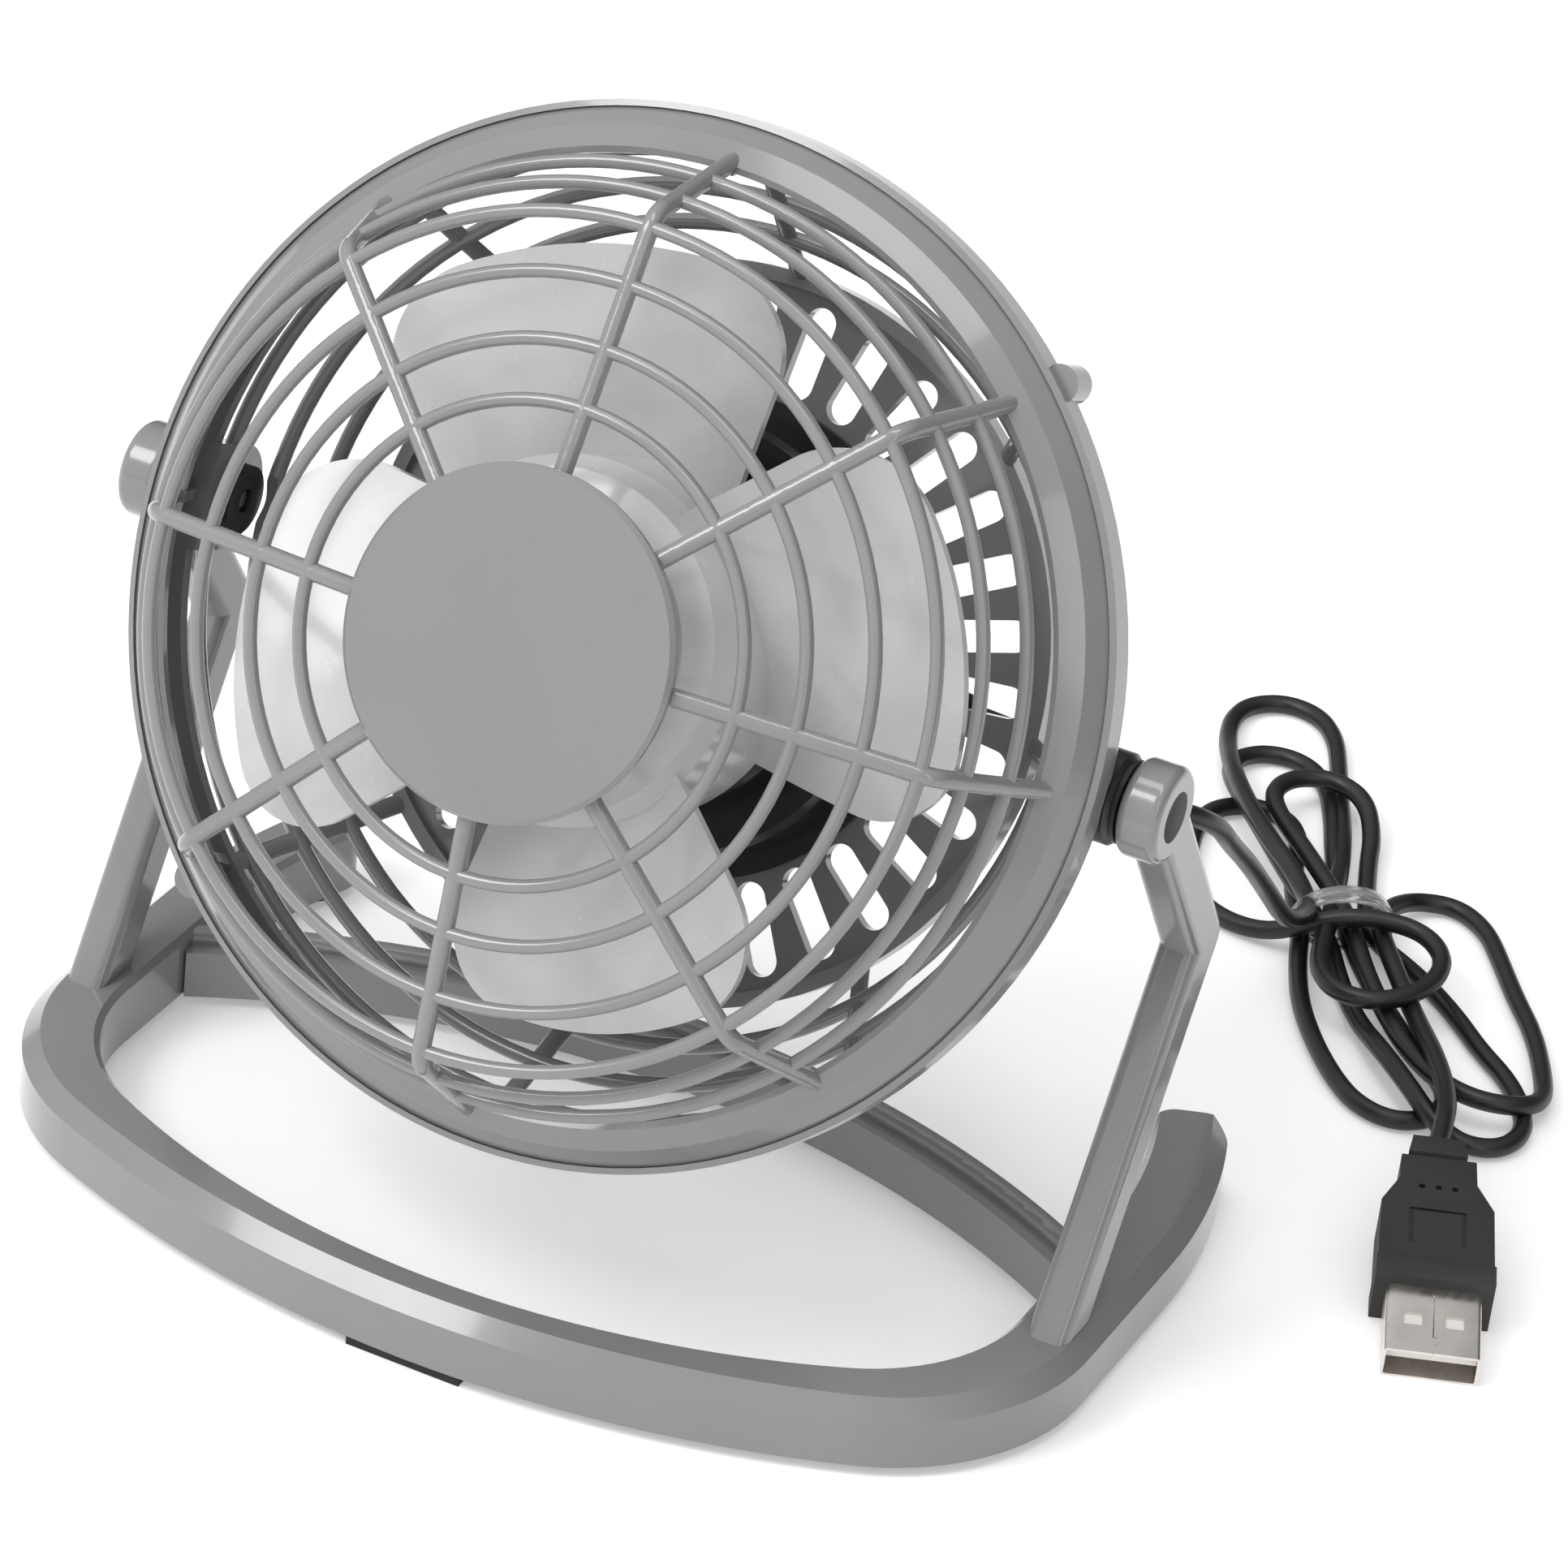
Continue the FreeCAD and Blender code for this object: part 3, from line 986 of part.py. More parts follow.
def make_cord():
    """The short lead that tilts with the head, and the part that hangs from it down to the hank."""
    tilt = math.radians(amount("headTilt"))
    reach = amount("glandAxis")
    gland = Vector(amount(GLAND_END), reach * math.cos(tilt), amount(PIVOT_HEIGHT) - reach * math.sin(tilt))
    bend = Vector(LEAD_BEND.x, gland.y, gland.z)
    along = joint_direction()
    keep("cord_lead", placed("CordLead", tube([gland, bend, JOINT - along * 8, JOINT])))
    keep("power_cord", placed("PowerCord", tube([JOINT, JOINT + along * 9] + DROP_ROUTE)))


def tie_placement():
    return Placement(TIE_CENTRE, Rotation(Vector(0, 0, 1), TIE_TURN))


def ring_block(height, span, width):
    """A block centred on the tie, standing on the floor."""
    block = Part.makeBox(width, span, height, Vector(-0.5 * width, -0.5 * span, 0))
    edges = [e for e in block.Edges if abs(e.Length - width) < 1e-6]
    block = block.makeFillet(0.3 * height, edges)
    return block.transformGeometry(tie_placement().toMatrix())


def make_hank():
    """The folded cord as one flat bundle, waisted under the tie that holds it."""
    height, span, width, wall = amount("hankHeight"), amount("tieSpan"), amount("tieWidth"), amount("tieWall")
    outline = Part.BSplineCurve()
    outline.interpolate([Vector(x, y, 0) for x, y in HANK_OUTLINE], PeriodicFlag=True)
    bundle = Part.Face(Part.Wire(outline.toShape())).extrude(Vector(0, 0, height))
    outer = ring_block(height, span, width)
    bore = ring_block(height - 2 * wall, span - 2 * wall, 2 * width)
    bore.translate(Vector(0, 0, wall))
    ring = outer.cut(bore)
    keep("cord_tie", placed("CordTie", ring))
    keep("cord_hank", placed("CordHank", bundle.cut(ring)))


def plug_placement():
    """The plug lies nose down: the shell's nose and the front edge of the overmold touch the floor."""
    pitch = math.atan2(amount("0.5 * plugHeight - 0.5 * shellHeight"), amount("shellLength"))
    back = Vector(-PLUG_HEADING.x * math.cos(pitch), -PLUG_HEADING.y * math.cos(pitch), math.sin(pitch))
    side = Vector(0, 0, 1).cross(back).normalize()
    nose = PLUG_NOSE + Vector(0, amount("pivotY"), amount("0.5 * shellHeight") * math.cos(pitch))
    return Placement(nose, Rotation(side, back.cross(side), back))


def plug_piece(node, body):
    body.Placement = plug_placement()
    return keep(node, body)


def make_plug():
    """USB-A plug: folded shell, tongue and overmold with its strain relief; z runs back from its nose."""
    shell = new_body("UsbShell")
    outer = new_sketch(shell, "ShellProfile", "XY_Plane")
    add_polygon(outer, box_corners("shellWidth", "shellHeight"))
    add_polygon(outer, box_corners("shellWidth", "shellHeight", "shellWall"))
    pad(shell, "Shell", outer, "shellLength")
    windows = new_sketch(shell, "WindowProfile", "XZ_Plane", "0 - shellHeight")
    front, rear = "windowBack", "windowBack + windowSize"
    for left in ("windowSide", "0 - windowSide - windowSize"):
        right = left + " + windowSize"
        add_polygon(windows, [(left, front), (right, front), (right, rear), (left, rear)])
    pocket(shell, "Windows", windows, "2 * shellHeight", True)
    plug_piece("usb_shell", shell)

    tongue = new_body("UsbTongue")
    strip = new_sketch(tongue, "TongueProfile", "XY_Plane", "tongueInset")
    half_wide, half_high = "0.5 * shellWidth", "0.5 * shellHeight"
    add_polygon(strip, [("shellWall - " + half_wide, half_high + " - shellWall - tongueThickness"),
                        (half_wide + " - shellWall", half_high + " - shellWall - tongueThickness"),
                        (half_wide + " - shellWall", half_high + " - shellWall"),
                        ("shellWall - " + half_wide, half_high + " - shellWall")])
    pad(tongue, "Tongue", strip, "shellLength - tongueInset")
    plug_piece("usb_tongue", tongue)

    mold = new_body("UsbOvermold")
    top = new_sketch(mold, "GripProfile", "XZ_Plane", "0.5 * plugHeight")
    front, rear = "shellLength", "shellLength + plugLength"
    half, shoulder = "0.5 * plugWidth", "0.5 * shoulderWidth"
    add_polygon(top, [
        ("0 - " + half, front), (half, front), (half, rear), (shoulder, rear + " + shoulderLength"),
        ("0 - " + shoulder, rear + " + shoulderLength"), ("0 - " + half, rear)])
    pad(mold, "Grip", top, "plugHeight", True)
    relief = new_sketch(mold, "ReliefProfile", "XZ_Plane", "0.35 * plugHeight")
    neck = "0.5 * reliefWidth"
    add_polygon(relief, [
        ("0 - " + neck, rear + " + shoulderLength - 1"), (neck, rear + " + shoulderLength - 1"),
        (neck + " - 0.6", rear + " + shoulderLength + reliefLength"),
        ("0.6 - " + neck, rear + " + shoulderLength + reliefLength")])
    pad(mold, "Relief", relief, "0.7 * plugHeight", True)
    plug_piece("usb_overmold", mold)


def make_plug_lead():
    """The end of the cord between the hank and the plug's strain relief."""
    place = plug_placement()
    place.Base.y -= amount("pivotY")
    length = amount(PLUG_REAR + " + reliefLength")
    start = place.multVec(Vector(0, 0, length))
    lift = place.multVec(Vector(0, 0, length + 6.5))
    end = start + Vector(-PLUG_HEADING.x, -PLUG_HEADING.y, 0) * 14.0
    end.z = 5.0
    keep("plug_lead", placed("PlugLead", tube([start, lift, end])))


make_front_grille()
make_rear_guard()
make_pivots()
make_guard_screws()
make_motor_housing()
make_rear_cover()
make_housing_screws()
make_motor()
make_rotor()
make_impeller()
make_switch()
make_gland()
make_base_frame()
make_end_caps()
make_pads()
make_arms()
make_cord()
make_hank()
make_plug()
make_plug_lead()
doc.recompute()

for thing in doc.Objects:
    if "Invalid" in thing.State or "Error" in thing.State:
        raise RuntimeError(f"{thing.Label} could not be built: {thing.State}")
for node, thing in nodes.items():
    if thing.Shape.isNull() or not thing.Shape.isValid():
        raise RuntimeError(f"{node} has no valid shape")

os.makedirs("parts", exist_ok=True)
for node, thing in nodes.items():
    thing.Shape.exportStep(f"parts/{node}.step")
    print(node, round(thing.Shape.Volume, 1), "mm3,", len(thing.Shape.Solids), "solid")
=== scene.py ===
# %% [markdown]
# A small desk fan, finished in cells. The engineering model brings the exact shapes: a wire guard that
# tilts between two arms, a four-bladed rotor and a C-shaped stand. What it can't bring is how things look:
# glossy grey plastic, pale blades, and a thin lead that lies folded beside the fan in a clear tie. Each
# step below says what a piece is on the real fan and why it is made the way it is.

# %% Load the fan as a fixed frame
import json
import math

import bmesh
import bpy
from mathutils import Matrix, Vector


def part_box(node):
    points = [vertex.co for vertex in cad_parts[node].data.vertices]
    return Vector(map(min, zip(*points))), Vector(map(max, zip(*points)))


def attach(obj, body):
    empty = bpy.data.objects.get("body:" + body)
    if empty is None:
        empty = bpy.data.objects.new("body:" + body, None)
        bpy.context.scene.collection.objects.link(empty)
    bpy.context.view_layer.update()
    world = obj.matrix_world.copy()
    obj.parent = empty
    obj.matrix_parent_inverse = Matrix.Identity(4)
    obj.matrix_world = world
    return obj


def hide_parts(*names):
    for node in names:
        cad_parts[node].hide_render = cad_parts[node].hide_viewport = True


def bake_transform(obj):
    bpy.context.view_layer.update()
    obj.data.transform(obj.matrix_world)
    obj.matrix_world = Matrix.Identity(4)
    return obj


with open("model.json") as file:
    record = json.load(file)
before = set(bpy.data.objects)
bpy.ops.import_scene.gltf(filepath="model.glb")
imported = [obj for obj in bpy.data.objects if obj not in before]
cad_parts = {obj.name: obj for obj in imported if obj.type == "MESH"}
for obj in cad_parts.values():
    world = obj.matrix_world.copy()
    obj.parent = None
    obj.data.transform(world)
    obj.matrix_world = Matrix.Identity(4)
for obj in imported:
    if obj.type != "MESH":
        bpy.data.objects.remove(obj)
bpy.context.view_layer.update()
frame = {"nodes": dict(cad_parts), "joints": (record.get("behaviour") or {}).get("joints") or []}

# %% [markdown]
# Everything is measured in metres, but a hand-held object is easier to think of in millimetres. The tilt
# axis is the natural origin for whatever hangs from the fan, so a small helper turns millimetres round that
# axis into metres in the scene. The washers sit on the axis, so their box gives its place.

# %% Units and the tilt axis
MM = 0.001
washer_low, washer_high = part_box("washer_right")
AXIS = 0.5 * (washer_low + washer_high)
spin_joint = next(joint for joint in frame["joints"] if joint["name"] == "blade_spin")
FORWARD = Vector(spin_joint["axis"]).normalized()


def beside_axis(x, y, height):
    """A point in metres: x and y in millimetres from the tilt axis, and a height above the floor."""
    return Vector((x * MM, AXIS.y + y * MM, height * MM))


print("tilt axis", tuple(round(value, 4) for value in AXIS), "the fan faces", tuple(FORWARD))

# %% [markdown]
# A long lens from a little above and to the fan's left flattens the view, as in a catalogue. The camera is
# set from where it stands and which way it looks, so its frame holds the fan and the folded lead.

# %% Camera
CAMERA_PLACE = Vector((0.3243, -0.69034, 0.5127))
LOOK = Vector((-0.3459, 0.7885, -0.5085)).normalized()
SKY = Vector((-0.307, 0.4171, 0.8555))
SENSOR_WIDTH, LENS = 36, 167.7        # both in millimetres, as on a real camera

right = LOOK.cross(SKY).normalized()
above = right.cross(LOOK)
camera = bpy.data.objects.new("camera", bpy.data.cameras.new("camera"))
camera.data.sensor_width = SENSOR_WIDTH
camera.data.lens = LENS
facing_along = Matrix((right, above, -LOOK)).transposed().to_4x4()
camera.matrix_world = Matrix.Translation(CAMERA_PLACE) @ facing_along
bpy.context.scene.collection.objects.link(camera)
bpy.context.scene.camera = camera
print("camera looks down by", round(math.degrees(math.asin(-LOOK.z)), 1), "degrees")

# %% [markdown]
# The stage is a wide white floor that glows a little, as a light table does, so that shadows stay soft.

# %% Floor
FLOOR_SIZE = 24
FLOOR_GREY, FLOOR_ROUGHNESS, FLOOR_GLOW = 0.85, 0.9, 0.26

bpy.ops.object.select_all(action="DESELECT")
bpy.ops.mesh.primitive_plane_add(size=FLOOR_SIZE, location=(0, 0, 0))
floor = bpy.context.object
floor.name = "floor"
paint = bpy.data.materials.new("floor_paint")
paint.use_nodes = True
paint_shader = paint.node_tree.nodes["Principled BSDF"]
paint_shader.inputs["Base Color"].default_value = (FLOOR_GREY, FLOOR_GREY, FLOOR_GREY, 1)
paint_shader.inputs["Roughness"].default_value = FLOOR_ROUGHNESS
paint_shader.inputs["Emission Color"].default_value = (1, 1, 1, 1)
paint_shader.inputs["Emission Strength"].default_value = FLOOR_GLOW
floor.data.materials.append(paint)
print("floor", FLOOR_SIZE, "m wide")

# %% [markdown]
# The room is bright in front and overhead and dark behind the fan. Glossy plastic needs that difference:
# faces that look up mirror the dark side and turn deep grey, and edges that look forward catch the bright
# side. How bright the room is in a direction depends on how near that direction is to the bright side.

# %% A room with a dark side
BRIGHT_SIDE = (-0.28, -0.5, 0.68)
ROOM_RANGE = {"From Min": -0.15, "From Max": 0.75, "To Min": 0.1, "To Max": 1.15}

room = bpy.data.worlds.new("room")
room.use_nodes = True
backdrop = room.node_tree.nodes["Background"]
outlook = room.node_tree.nodes.new("ShaderNodeTexCoord")
facing = room.node_tree.nodes.new("ShaderNodeVectorMath")
facing.operation = "DOT_PRODUCT"
facing.inputs[1].default_value = BRIGHT_SIDE
shade = room.node_tree.nodes.new("ShaderNodeMapRange")
for label, value in ROOM_RANGE.items():
    shade.inputs[label].default_value = value
room.node_tree.links.new(outlook.outputs["Generated"], facing.inputs[0])
room.node_tree.links.new(facing.outputs["Value"], shade.inputs["Value"])
room.node_tree.links.new(shade.outputs["Result"], backdrop.inputs["Strength"])
backdrop.inputs["Color"].default_value = (1, 1, 1, 1)
bpy.context.scene.world = room
bpy.context.scene.view_settings.view_transform = "Standard"
print("room from", ROOM_RANGE["To Min"], "to", ROOM_RANGE["To Max"])

# %% [markdown]
# Three soft lights model the shape: a large one from the front left, a tall, narrow strip on the right for
# long highlights on the rim, and a wide one overhead.

# %% Lights
def soft_light(name, place, size, power):
    """A rectangular light that looks at the middle of the fan: size in metres, power in watts."""
    lamp = bpy.data.objects.new(name, bpy.data.lights.new(name, "AREA"))
    lamp.data.shape = "RECTANGLE"
    lamp.data.size, lamp.data.size_y = size
    lamp.data.energy = power
    lamp.location = place
    lamp.rotation_euler = (AXIS - Vector(place)).to_track_quat("-Z", "Y").to_euler()
    bpy.context.scene.collection.objects.link(lamp)
    return lamp


lights = [soft_light("key_light", (-0.5, -0.6, 0.95), (0.5, 0.5), 6),
          soft_light("strip_light", (0.75, -0.6, 0.45), (0.12, 0.9), 0.8),
          soft_light("top_light", (0, -0.15, 1.1), (0.7, 0.25), 2)]
print("lights", [lamp.name for lamp in lights])

# %% [markdown]
# A few small tools do most of the modelling. Boxes and rods are made in millimetres at the origin, where
# they are easy to measure, and are pulled, carved and rounded there. Longer shapes are skins over rings of
# points.

# %% Skins over rings of points
def skin(shell, rings, looped=False):
    """Faces from each ring of points to the next; a looped skin also joins the last ring to the first."""
    for first, second in zip(rings, rings[1:] + rings[:1] if looped else rings[1:]):
        for number in range(len(first)):
            following = (number + 1) % len(first)
            shell.faces.new((first[number], first[following], second[following], second[number]))


def new_piece(name, shell):
    """Turn a finished bmesh into an object in the scene, with every face outward."""
    bmesh.ops.recalc_face_normals(shell, faces=shell.faces)
    mesh = bpy.data.meshes.new(name)
    shell.to_mesh(mesh)
    shell.free()
    piece = bpy.data.objects.new(name, mesh)
    bpy.context.scene.collection.objects.link(piece)
    return piece


print("skins ready")

# %% Boxes and rods
def fresh_box(name, low, high):
    """A box between two corners, in millimetres, ready to be shaped."""
    bpy.ops.object.select_all(action="DESELECT")
    bpy.ops.mesh.primitive_cube_add(size=1, location=(0, 0, 0))
    piece = bpy.context.object
    piece.name = name
    size, middle = Vector(high) - Vector(low), 0.5 * (Vector(high) + Vector(low))
    piece.data.transform(Matrix.Translation(middle) @ Matrix.Diagonal((*size, 1)))
    return piece


def fresh_rod(name, radius, low, high, sides):
    """A cylinder along z, in millimetres, ready to be shaped."""
    bpy.ops.object.select_all(action="DESELECT")
    bpy.ops.mesh.primitive_cylinder_add(vertices=sides, radius=radius, depth=high - low, location=(0, 0, 0))
    piece = bpy.context.object
    piece.name = name
    piece.data.transform(Matrix.Translation((0, 0, 0.5 * (high + low))))
    return piece


print("boxes and rods ready")

# %% [markdown]
# A plain box grows into a moulded shape when its end face is pulled out again and again, each time a little
# narrower or wider. That is done in edit mode, on the faces that a test picks out.

# %% Pull a shape out of a box
def pick_faces(piece, test):
    """In edit mode, select just the faces whose centre and normal a test accepts."""
    bpy.context.view_layer.objects.active = piece
    bpy.ops.object.mode_set(mode="EDIT")
    bpy.ops.mesh.select_mode(type="FACE")
    bpy.ops.mesh.select_all(action="DESELECT")
    sheet = bmesh.from_edit_mesh(piece.data)
    for face in sheet.faces:
        face.select_set(test(face.calc_center_median(), face.normal))
    bmesh.update_edit_mesh(piece.data)


def stretch_end(piece, back, width, height):
    """Pull the rearmost face back along z and give it a share of its width and height."""
    top = max(vertex.co.z for vertex in piece.data.vertices)
    pick_faces(piece, lambda middle, normal: normal.z > 0.9 and middle.z > top - 0.01)
    bpy.ops.mesh.extrude_region_move(TRANSFORM_OT_translate={"value": (0, 0, back)})
    bpy.ops.transform.resize(value=(width, height, 1), center_override=(0, 0, 0))
    bpy.ops.object.mode_set(mode="OBJECT")


print("pulling ready")

# %% [markdown]
# Cutting and rounding are modifiers that are applied at once, so the mesh is the shape that shows. Rounded
# edges matter more than anything else here, because a real moulded edge always catches a line of light.

# %% Cut, round, join and put in place
def apply_modifier(piece, kind, **settings):
    """Add a modifier, set it and apply it."""
    bpy.context.view_layer.objects.active = piece
    modifier = piece.modifiers.new(kind.lower(), kind)
    for name, value in settings.items():
        setattr(modifier, name, value)
    bpy.ops.object.modifier_apply(modifier=modifier.name)


def carve(piece, cutters):
    """Cut away each cutter from a piece, and throw the cutter away."""
    for cutter in cutters:
        apply_modifier(piece, "BOOLEAN", operation="DIFFERENCE", solver="EXACT", object=cutter)
        bpy.data.objects.remove(cutter)


def soften(piece, width, segments, angle=35):
    """Round every edge sharper than an angle, then shade the piece smooth between sharp edges."""
    apply_modifier(piece, "BEVEL", width=width, segments=segments, limit_method="ANGLE",
                   angle_limit=math.radians(angle), harden_normals=False)
    bpy.ops.object.select_all(action="DESELECT")
    piece.select_set(True)
    bpy.context.view_layer.objects.active = piece
    bpy.ops.object.shade_smooth_by_angle(angle=math.radians(40))


def joined(name, pieces):
    """Several mesh objects as one, under one name."""
    bpy.ops.object.select_all(action="DESELECT")
    for piece in pieces:
        piece.select_set(True)
    bpy.context.view_layer.objects.active = pieces[0]
    bpy.ops.object.join()
    pieces[0].name = name
    pieces[0].data.name = name
    pieces[0].select_set(False)
    return pieces[0]


def settle(piece, matrix):
    """Turn millimetres into metres and move the mesh to its place, leaving the object at the origin."""
    piece.data.transform(matrix @ Matrix.Scale(MM, 4))
    piece.data.update()


print("helpers ready")

# %% [markdown]
# The lead is one fixed length of thin, round cable. It leaves the gland on the fan's back, hangs down to
# the floor and passes eight times through a clear tie, with its plug out in front. A NURBS spline is the
# right line for it, because it stays smooth between a few given points. The points are grouped by
# loop, so a loop can be moved without touching the rest. Where one strand crosses another, it rides one
# diameter higher.

# %% The lead's route, in millimetres beside the tilt axis
CORD_DIAMETER = 2.6
ROUTE = [
    # out of the gland, over the tilt axis and down behind the fan
    (34, 24.74, 68.69), (41, 24.74, 68.69), (52, 30.05, 61.55), (56, 36, 58), (60.5, 42.7, 54),
    (58.6, 54, 44.8), (56.6, 68, 34), (55, 82, 21.8), (54.2, 91.5, 13), (53.9, 98, 9.2), (53.2, 104, 7.2),
    # through the tie and round the long rear loop
    (51, 109.8, 5.1), (46.5, 115, 5.6), (41, 119.5, 6.3), (35, 126, 6.3), (28.5, 135.5, 5),
    (23, 146.5, 2.2), (20.2, 154.5, 1.4), (20.8, 160, 1.4), (25, 163.6, 1.4), (30.6, 162.8, 1.4),
    (35, 158, 1.4), (38.6, 150.5, 1.4), (41.8, 143.5, 1.4), (46.2, 134.5, 1.4), (50.3, 123.5, 2.4),
    # through the tie and round the short front loop that lies on top
    (54.9, 108.7, 4.3), (57.2, 100, 6), (59.4, 93, 6.4), (63.2, 89, 6.4), (68.6, 88.9, 6.5),
    (72.6, 93, 6.6), (74.2, 99, 6.7), (72.8, 105, 6.7), (68.2, 109, 6.8), (62.4, 108.2, 7.2),
    (57.4, 105.6, 7), (52.4, 104, 4.6),
    # down over the left strands, round the wide loop towards the fan and back
    (48.2, 103.8, 2.2), (43, 104, 1.4), (37.4, 106, 1.4), (32.8, 111, 1.4), (30, 118.5, 1.4),
    (28.4, 124, 1.4), (28, 129.8, 1.4), (31.4, 134, 1.4), (36.8, 134.4, 1.4), (41, 131, 1.4),
    (43.2, 125, 1.4), (46, 117, 1.4),
    # through the tie and round the first front fold
    (51, 108.5, 1.5), (54.4, 99.5, 1.4), (58.5, 91, 1.4), (63.6, 83.6, 1.4), (69, 77.3, 1.4),
    (74.2, 72.8, 1.4), (80, 71.6, 1.4), (84.3, 75.2, 1.4), (84, 81, 1.4), (79.8, 86, 1.4),
    (74.4, 90.6, 1.4), (68.5, 96.5, 1.4), (63, 102.5, 1.4),
    # through the tie and round the first rear fold
    (57.1, 110.3, 1.5), (51.5, 120, 1.4), (46.8, 129.5, 1.4), (43, 138, 1.4), (39, 145.5, 1.4),
    (33.6, 149.8, 1.4), (27.8, 148.8, 1.4), (25.2, 143.4, 1.8), (27.8, 136.5, 3.2), (34, 129, 4.1),
    (45, 117, 3.6),
    # through the tie and round the second front fold
    (54.9, 108.7, 1.5), (60.5, 99.5, 1.4), (67, 90.5, 1.8), (73.8, 82.4, 4.1), (79.8, 76.8, 4.1),
    (84, 73, 3.6), (89.4, 71, 1.9), (94.4, 73.6, 1.4), (95.6, 79.2, 1.4), (92.8, 85, 1.4),
    (88.5, 90.2, 1.4), (83, 94.5, 1.4), (77, 100.5, 1.4), (69.5, 106.5, 1.4),
    # through the tie and round the second rear fold
    (59.4, 111.9, 1.5), (56, 119.5, 1.5), (52.4, 128.5, 1.5), (50, 135.6, 2.4), (46.4, 141, 4.1),
    (41, 143.2, 4.3), (36, 140.4, 4.4), (34.8, 134.8, 4.6), (38, 129.2, 4.8), (46.4, 120.5, 5.4),
    # through the tie and round the widest loop
    (57.1, 110.3, 4.3), (63.5, 100, 4.1), (70.5, 91, 4.1), (76.5, 84.3, 4.2), (82.5, 80, 4.2),
    (88.5, 78.6, 4.2), (93.8, 81, 3.8), (95.2, 87, 2), (92, 94.5, 1.4), (87.5, 102.5, 1.4),
    (82, 109.5, 1.4), (76.8, 117, 1.4), (72.4, 123, 1.4), (66.8, 126.4, 1.4), (61.6, 124, 1.8),
    (60, 118, 3.4),
    # through the tie and straight to the plug
    (60.4, 111.5, 4.4), (67.6, 101.3, 4.4), (74.5, 91.5, 4.8), (80.5, 82.8, 6.4), (84.9, 75.8, 6.9),
    (87.6, 70, 7.8), (89.2, 64.5, 8.6), (90.55, 59.03, 7.75),
]
print("route points", len(ROUTE))


def spline_line(points, steps):
    """The points of the smooth curve that a NURBS spline draws between its control points."""
    curve = bpy.data.curves.new("route", "CURVE")
    curve.dimensions = "3D"
    spline = curve.splines.new("NURBS")
    spline.points.add(len(points) - 1)
    for control, place in zip(spline.points, points):
        control.co = (*place, 1)
    spline.order_u = 3
    spline.use_endpoint_u = True
    spline.resolution_u = steps
    holder = bpy.data.objects.new("route", curve)
    mesh = bpy.data.meshes.new_from_object(holder)
    line = [vertex.co.copy() for vertex in mesh.vertices]
    bpy.data.meshes.remove(mesh)
    bpy.data.objects.remove(holder)
    bpy.data.curves.remove(curve)
    return line


cord_line = spline_line([beside_axis(*point) for point in ROUTE], steps=8)

# %% [markdown]
# A mesh tube, and not a bevelled curve, because only a mesh can be blended between two bodies, though this
# one is not. Rings are carried along the line without twisting: each ring's side direction is the last
# one's, made square to the new direction.

# %% Sweep a round tube along a line
def swept_tube(name, line, radius, sides):
    """A tube of rings round the points of a line, closed at both ends."""
    shell = bmesh.new()
    turns = [2 * math.pi * number / sides for number in range(sides)]
    side = Vector((0, 0, 1)).cross(line[1] - line[0]).normalized()
    rings = []
    for before, centre, after in zip(line[:1] + line, line, line[1:] + line[-1:]):
        along = (after - before).normalized()
        side = (side - along * side.dot(along)).normalized()
        other = along.cross(side)
        rings.append([shell.verts.new(centre + (side * math.cos(turn) + other * math.sin(turn)) * radius)
                      for turn in turns])
    skin(shell, rings)
    shell.faces.new(rings[0][::-1])
    shell.faces.new(rings[-1])
    for face in shell.faces:
        face.smooth = True
    return new_piece(name, shell)


lead = swept_tube("lead", cord_line, 0.5 * CORD_DIAMETER * MM, sides=12)
print("lead faces", len(lead.data.polygons))

# %% [markdown]
# The clear tie is a thin plastic strip wound round the waist of the bundle. Each turn is a flat oval band
# that stands on edge across the bundle, and the turns lean apart a little, so that they catch the light one
# by one.

# %% Clear tie
TIE_CENTRE = beside_axis(56.2, 109.7, 4.4)
ALONG_BUNDLE = Vector((-0.574, 0.819, 0))
ACROSS_BUNDLE = Vector((0.819, 0.574, 0))
TIE_HALF_SPAN, TIE_HALF_HEIGHT = 6.9 * MM, 4.0 * MM
TIE_WIDTH, TIE_THICKNESS = 1.7 * MM, 0.34 * MM
BAND_PITCH, BAND_SWAY = 1.15, 0.5        # how far apart the turns lie and how far they lean, in millimetres
BAND_PHASE = 1.9                         # how differently two neighbouring turns lean, in radians
OUTER_SHRINK = 0.04                      # the outer turns are this share smaller
BAND_STEPS = 56
BAND_CORNERS = ((-0.5, -0.5), (0.5, -0.5), (0.5, 0.5), (-0.5, 0.5))


def band(number):
    """One oval turn of the strip, leaning to its own side, with a thin rectangular section."""
    shell = bmesh.new()
    grow = 1 - OUTER_SHRINK * abs(number)
    rings = []
    for step in range(BAND_STEPS):
        turn = 2 * math.pi * step / BAND_STEPS
        lean = (BAND_PITCH * number + BAND_SWAY * math.sin(turn + BAND_PHASE * number)) * MM
        out = ACROSS_BUNDLE * math.cos(turn) + Vector((0, 0, math.sin(turn)))
        middle = (TIE_CENTRE + ACROSS_BUNDLE * (TIE_HALF_SPAN * grow * math.cos(turn))
                  + Vector((0, 0, TIE_HALF_HEIGHT * grow * math.sin(turn))) + ALONG_BUNDLE * lean)
        rings.append([shell.verts.new(middle + ALONG_BUNDLE * (along * TIE_WIDTH)
                                      + out * (away * TIE_THICKNESS)) for along, away in BAND_CORNERS])
    skin(shell, rings, looped=True)
    return new_piece(f"band_{number + 1}", shell)


tie = joined("lead_tie", [band(number) for number in (-1, 0, 1)])
soften(tie, 0.1 * MM, segments=2, angle=50)
print("tie faces", len(tie.data.polygons))

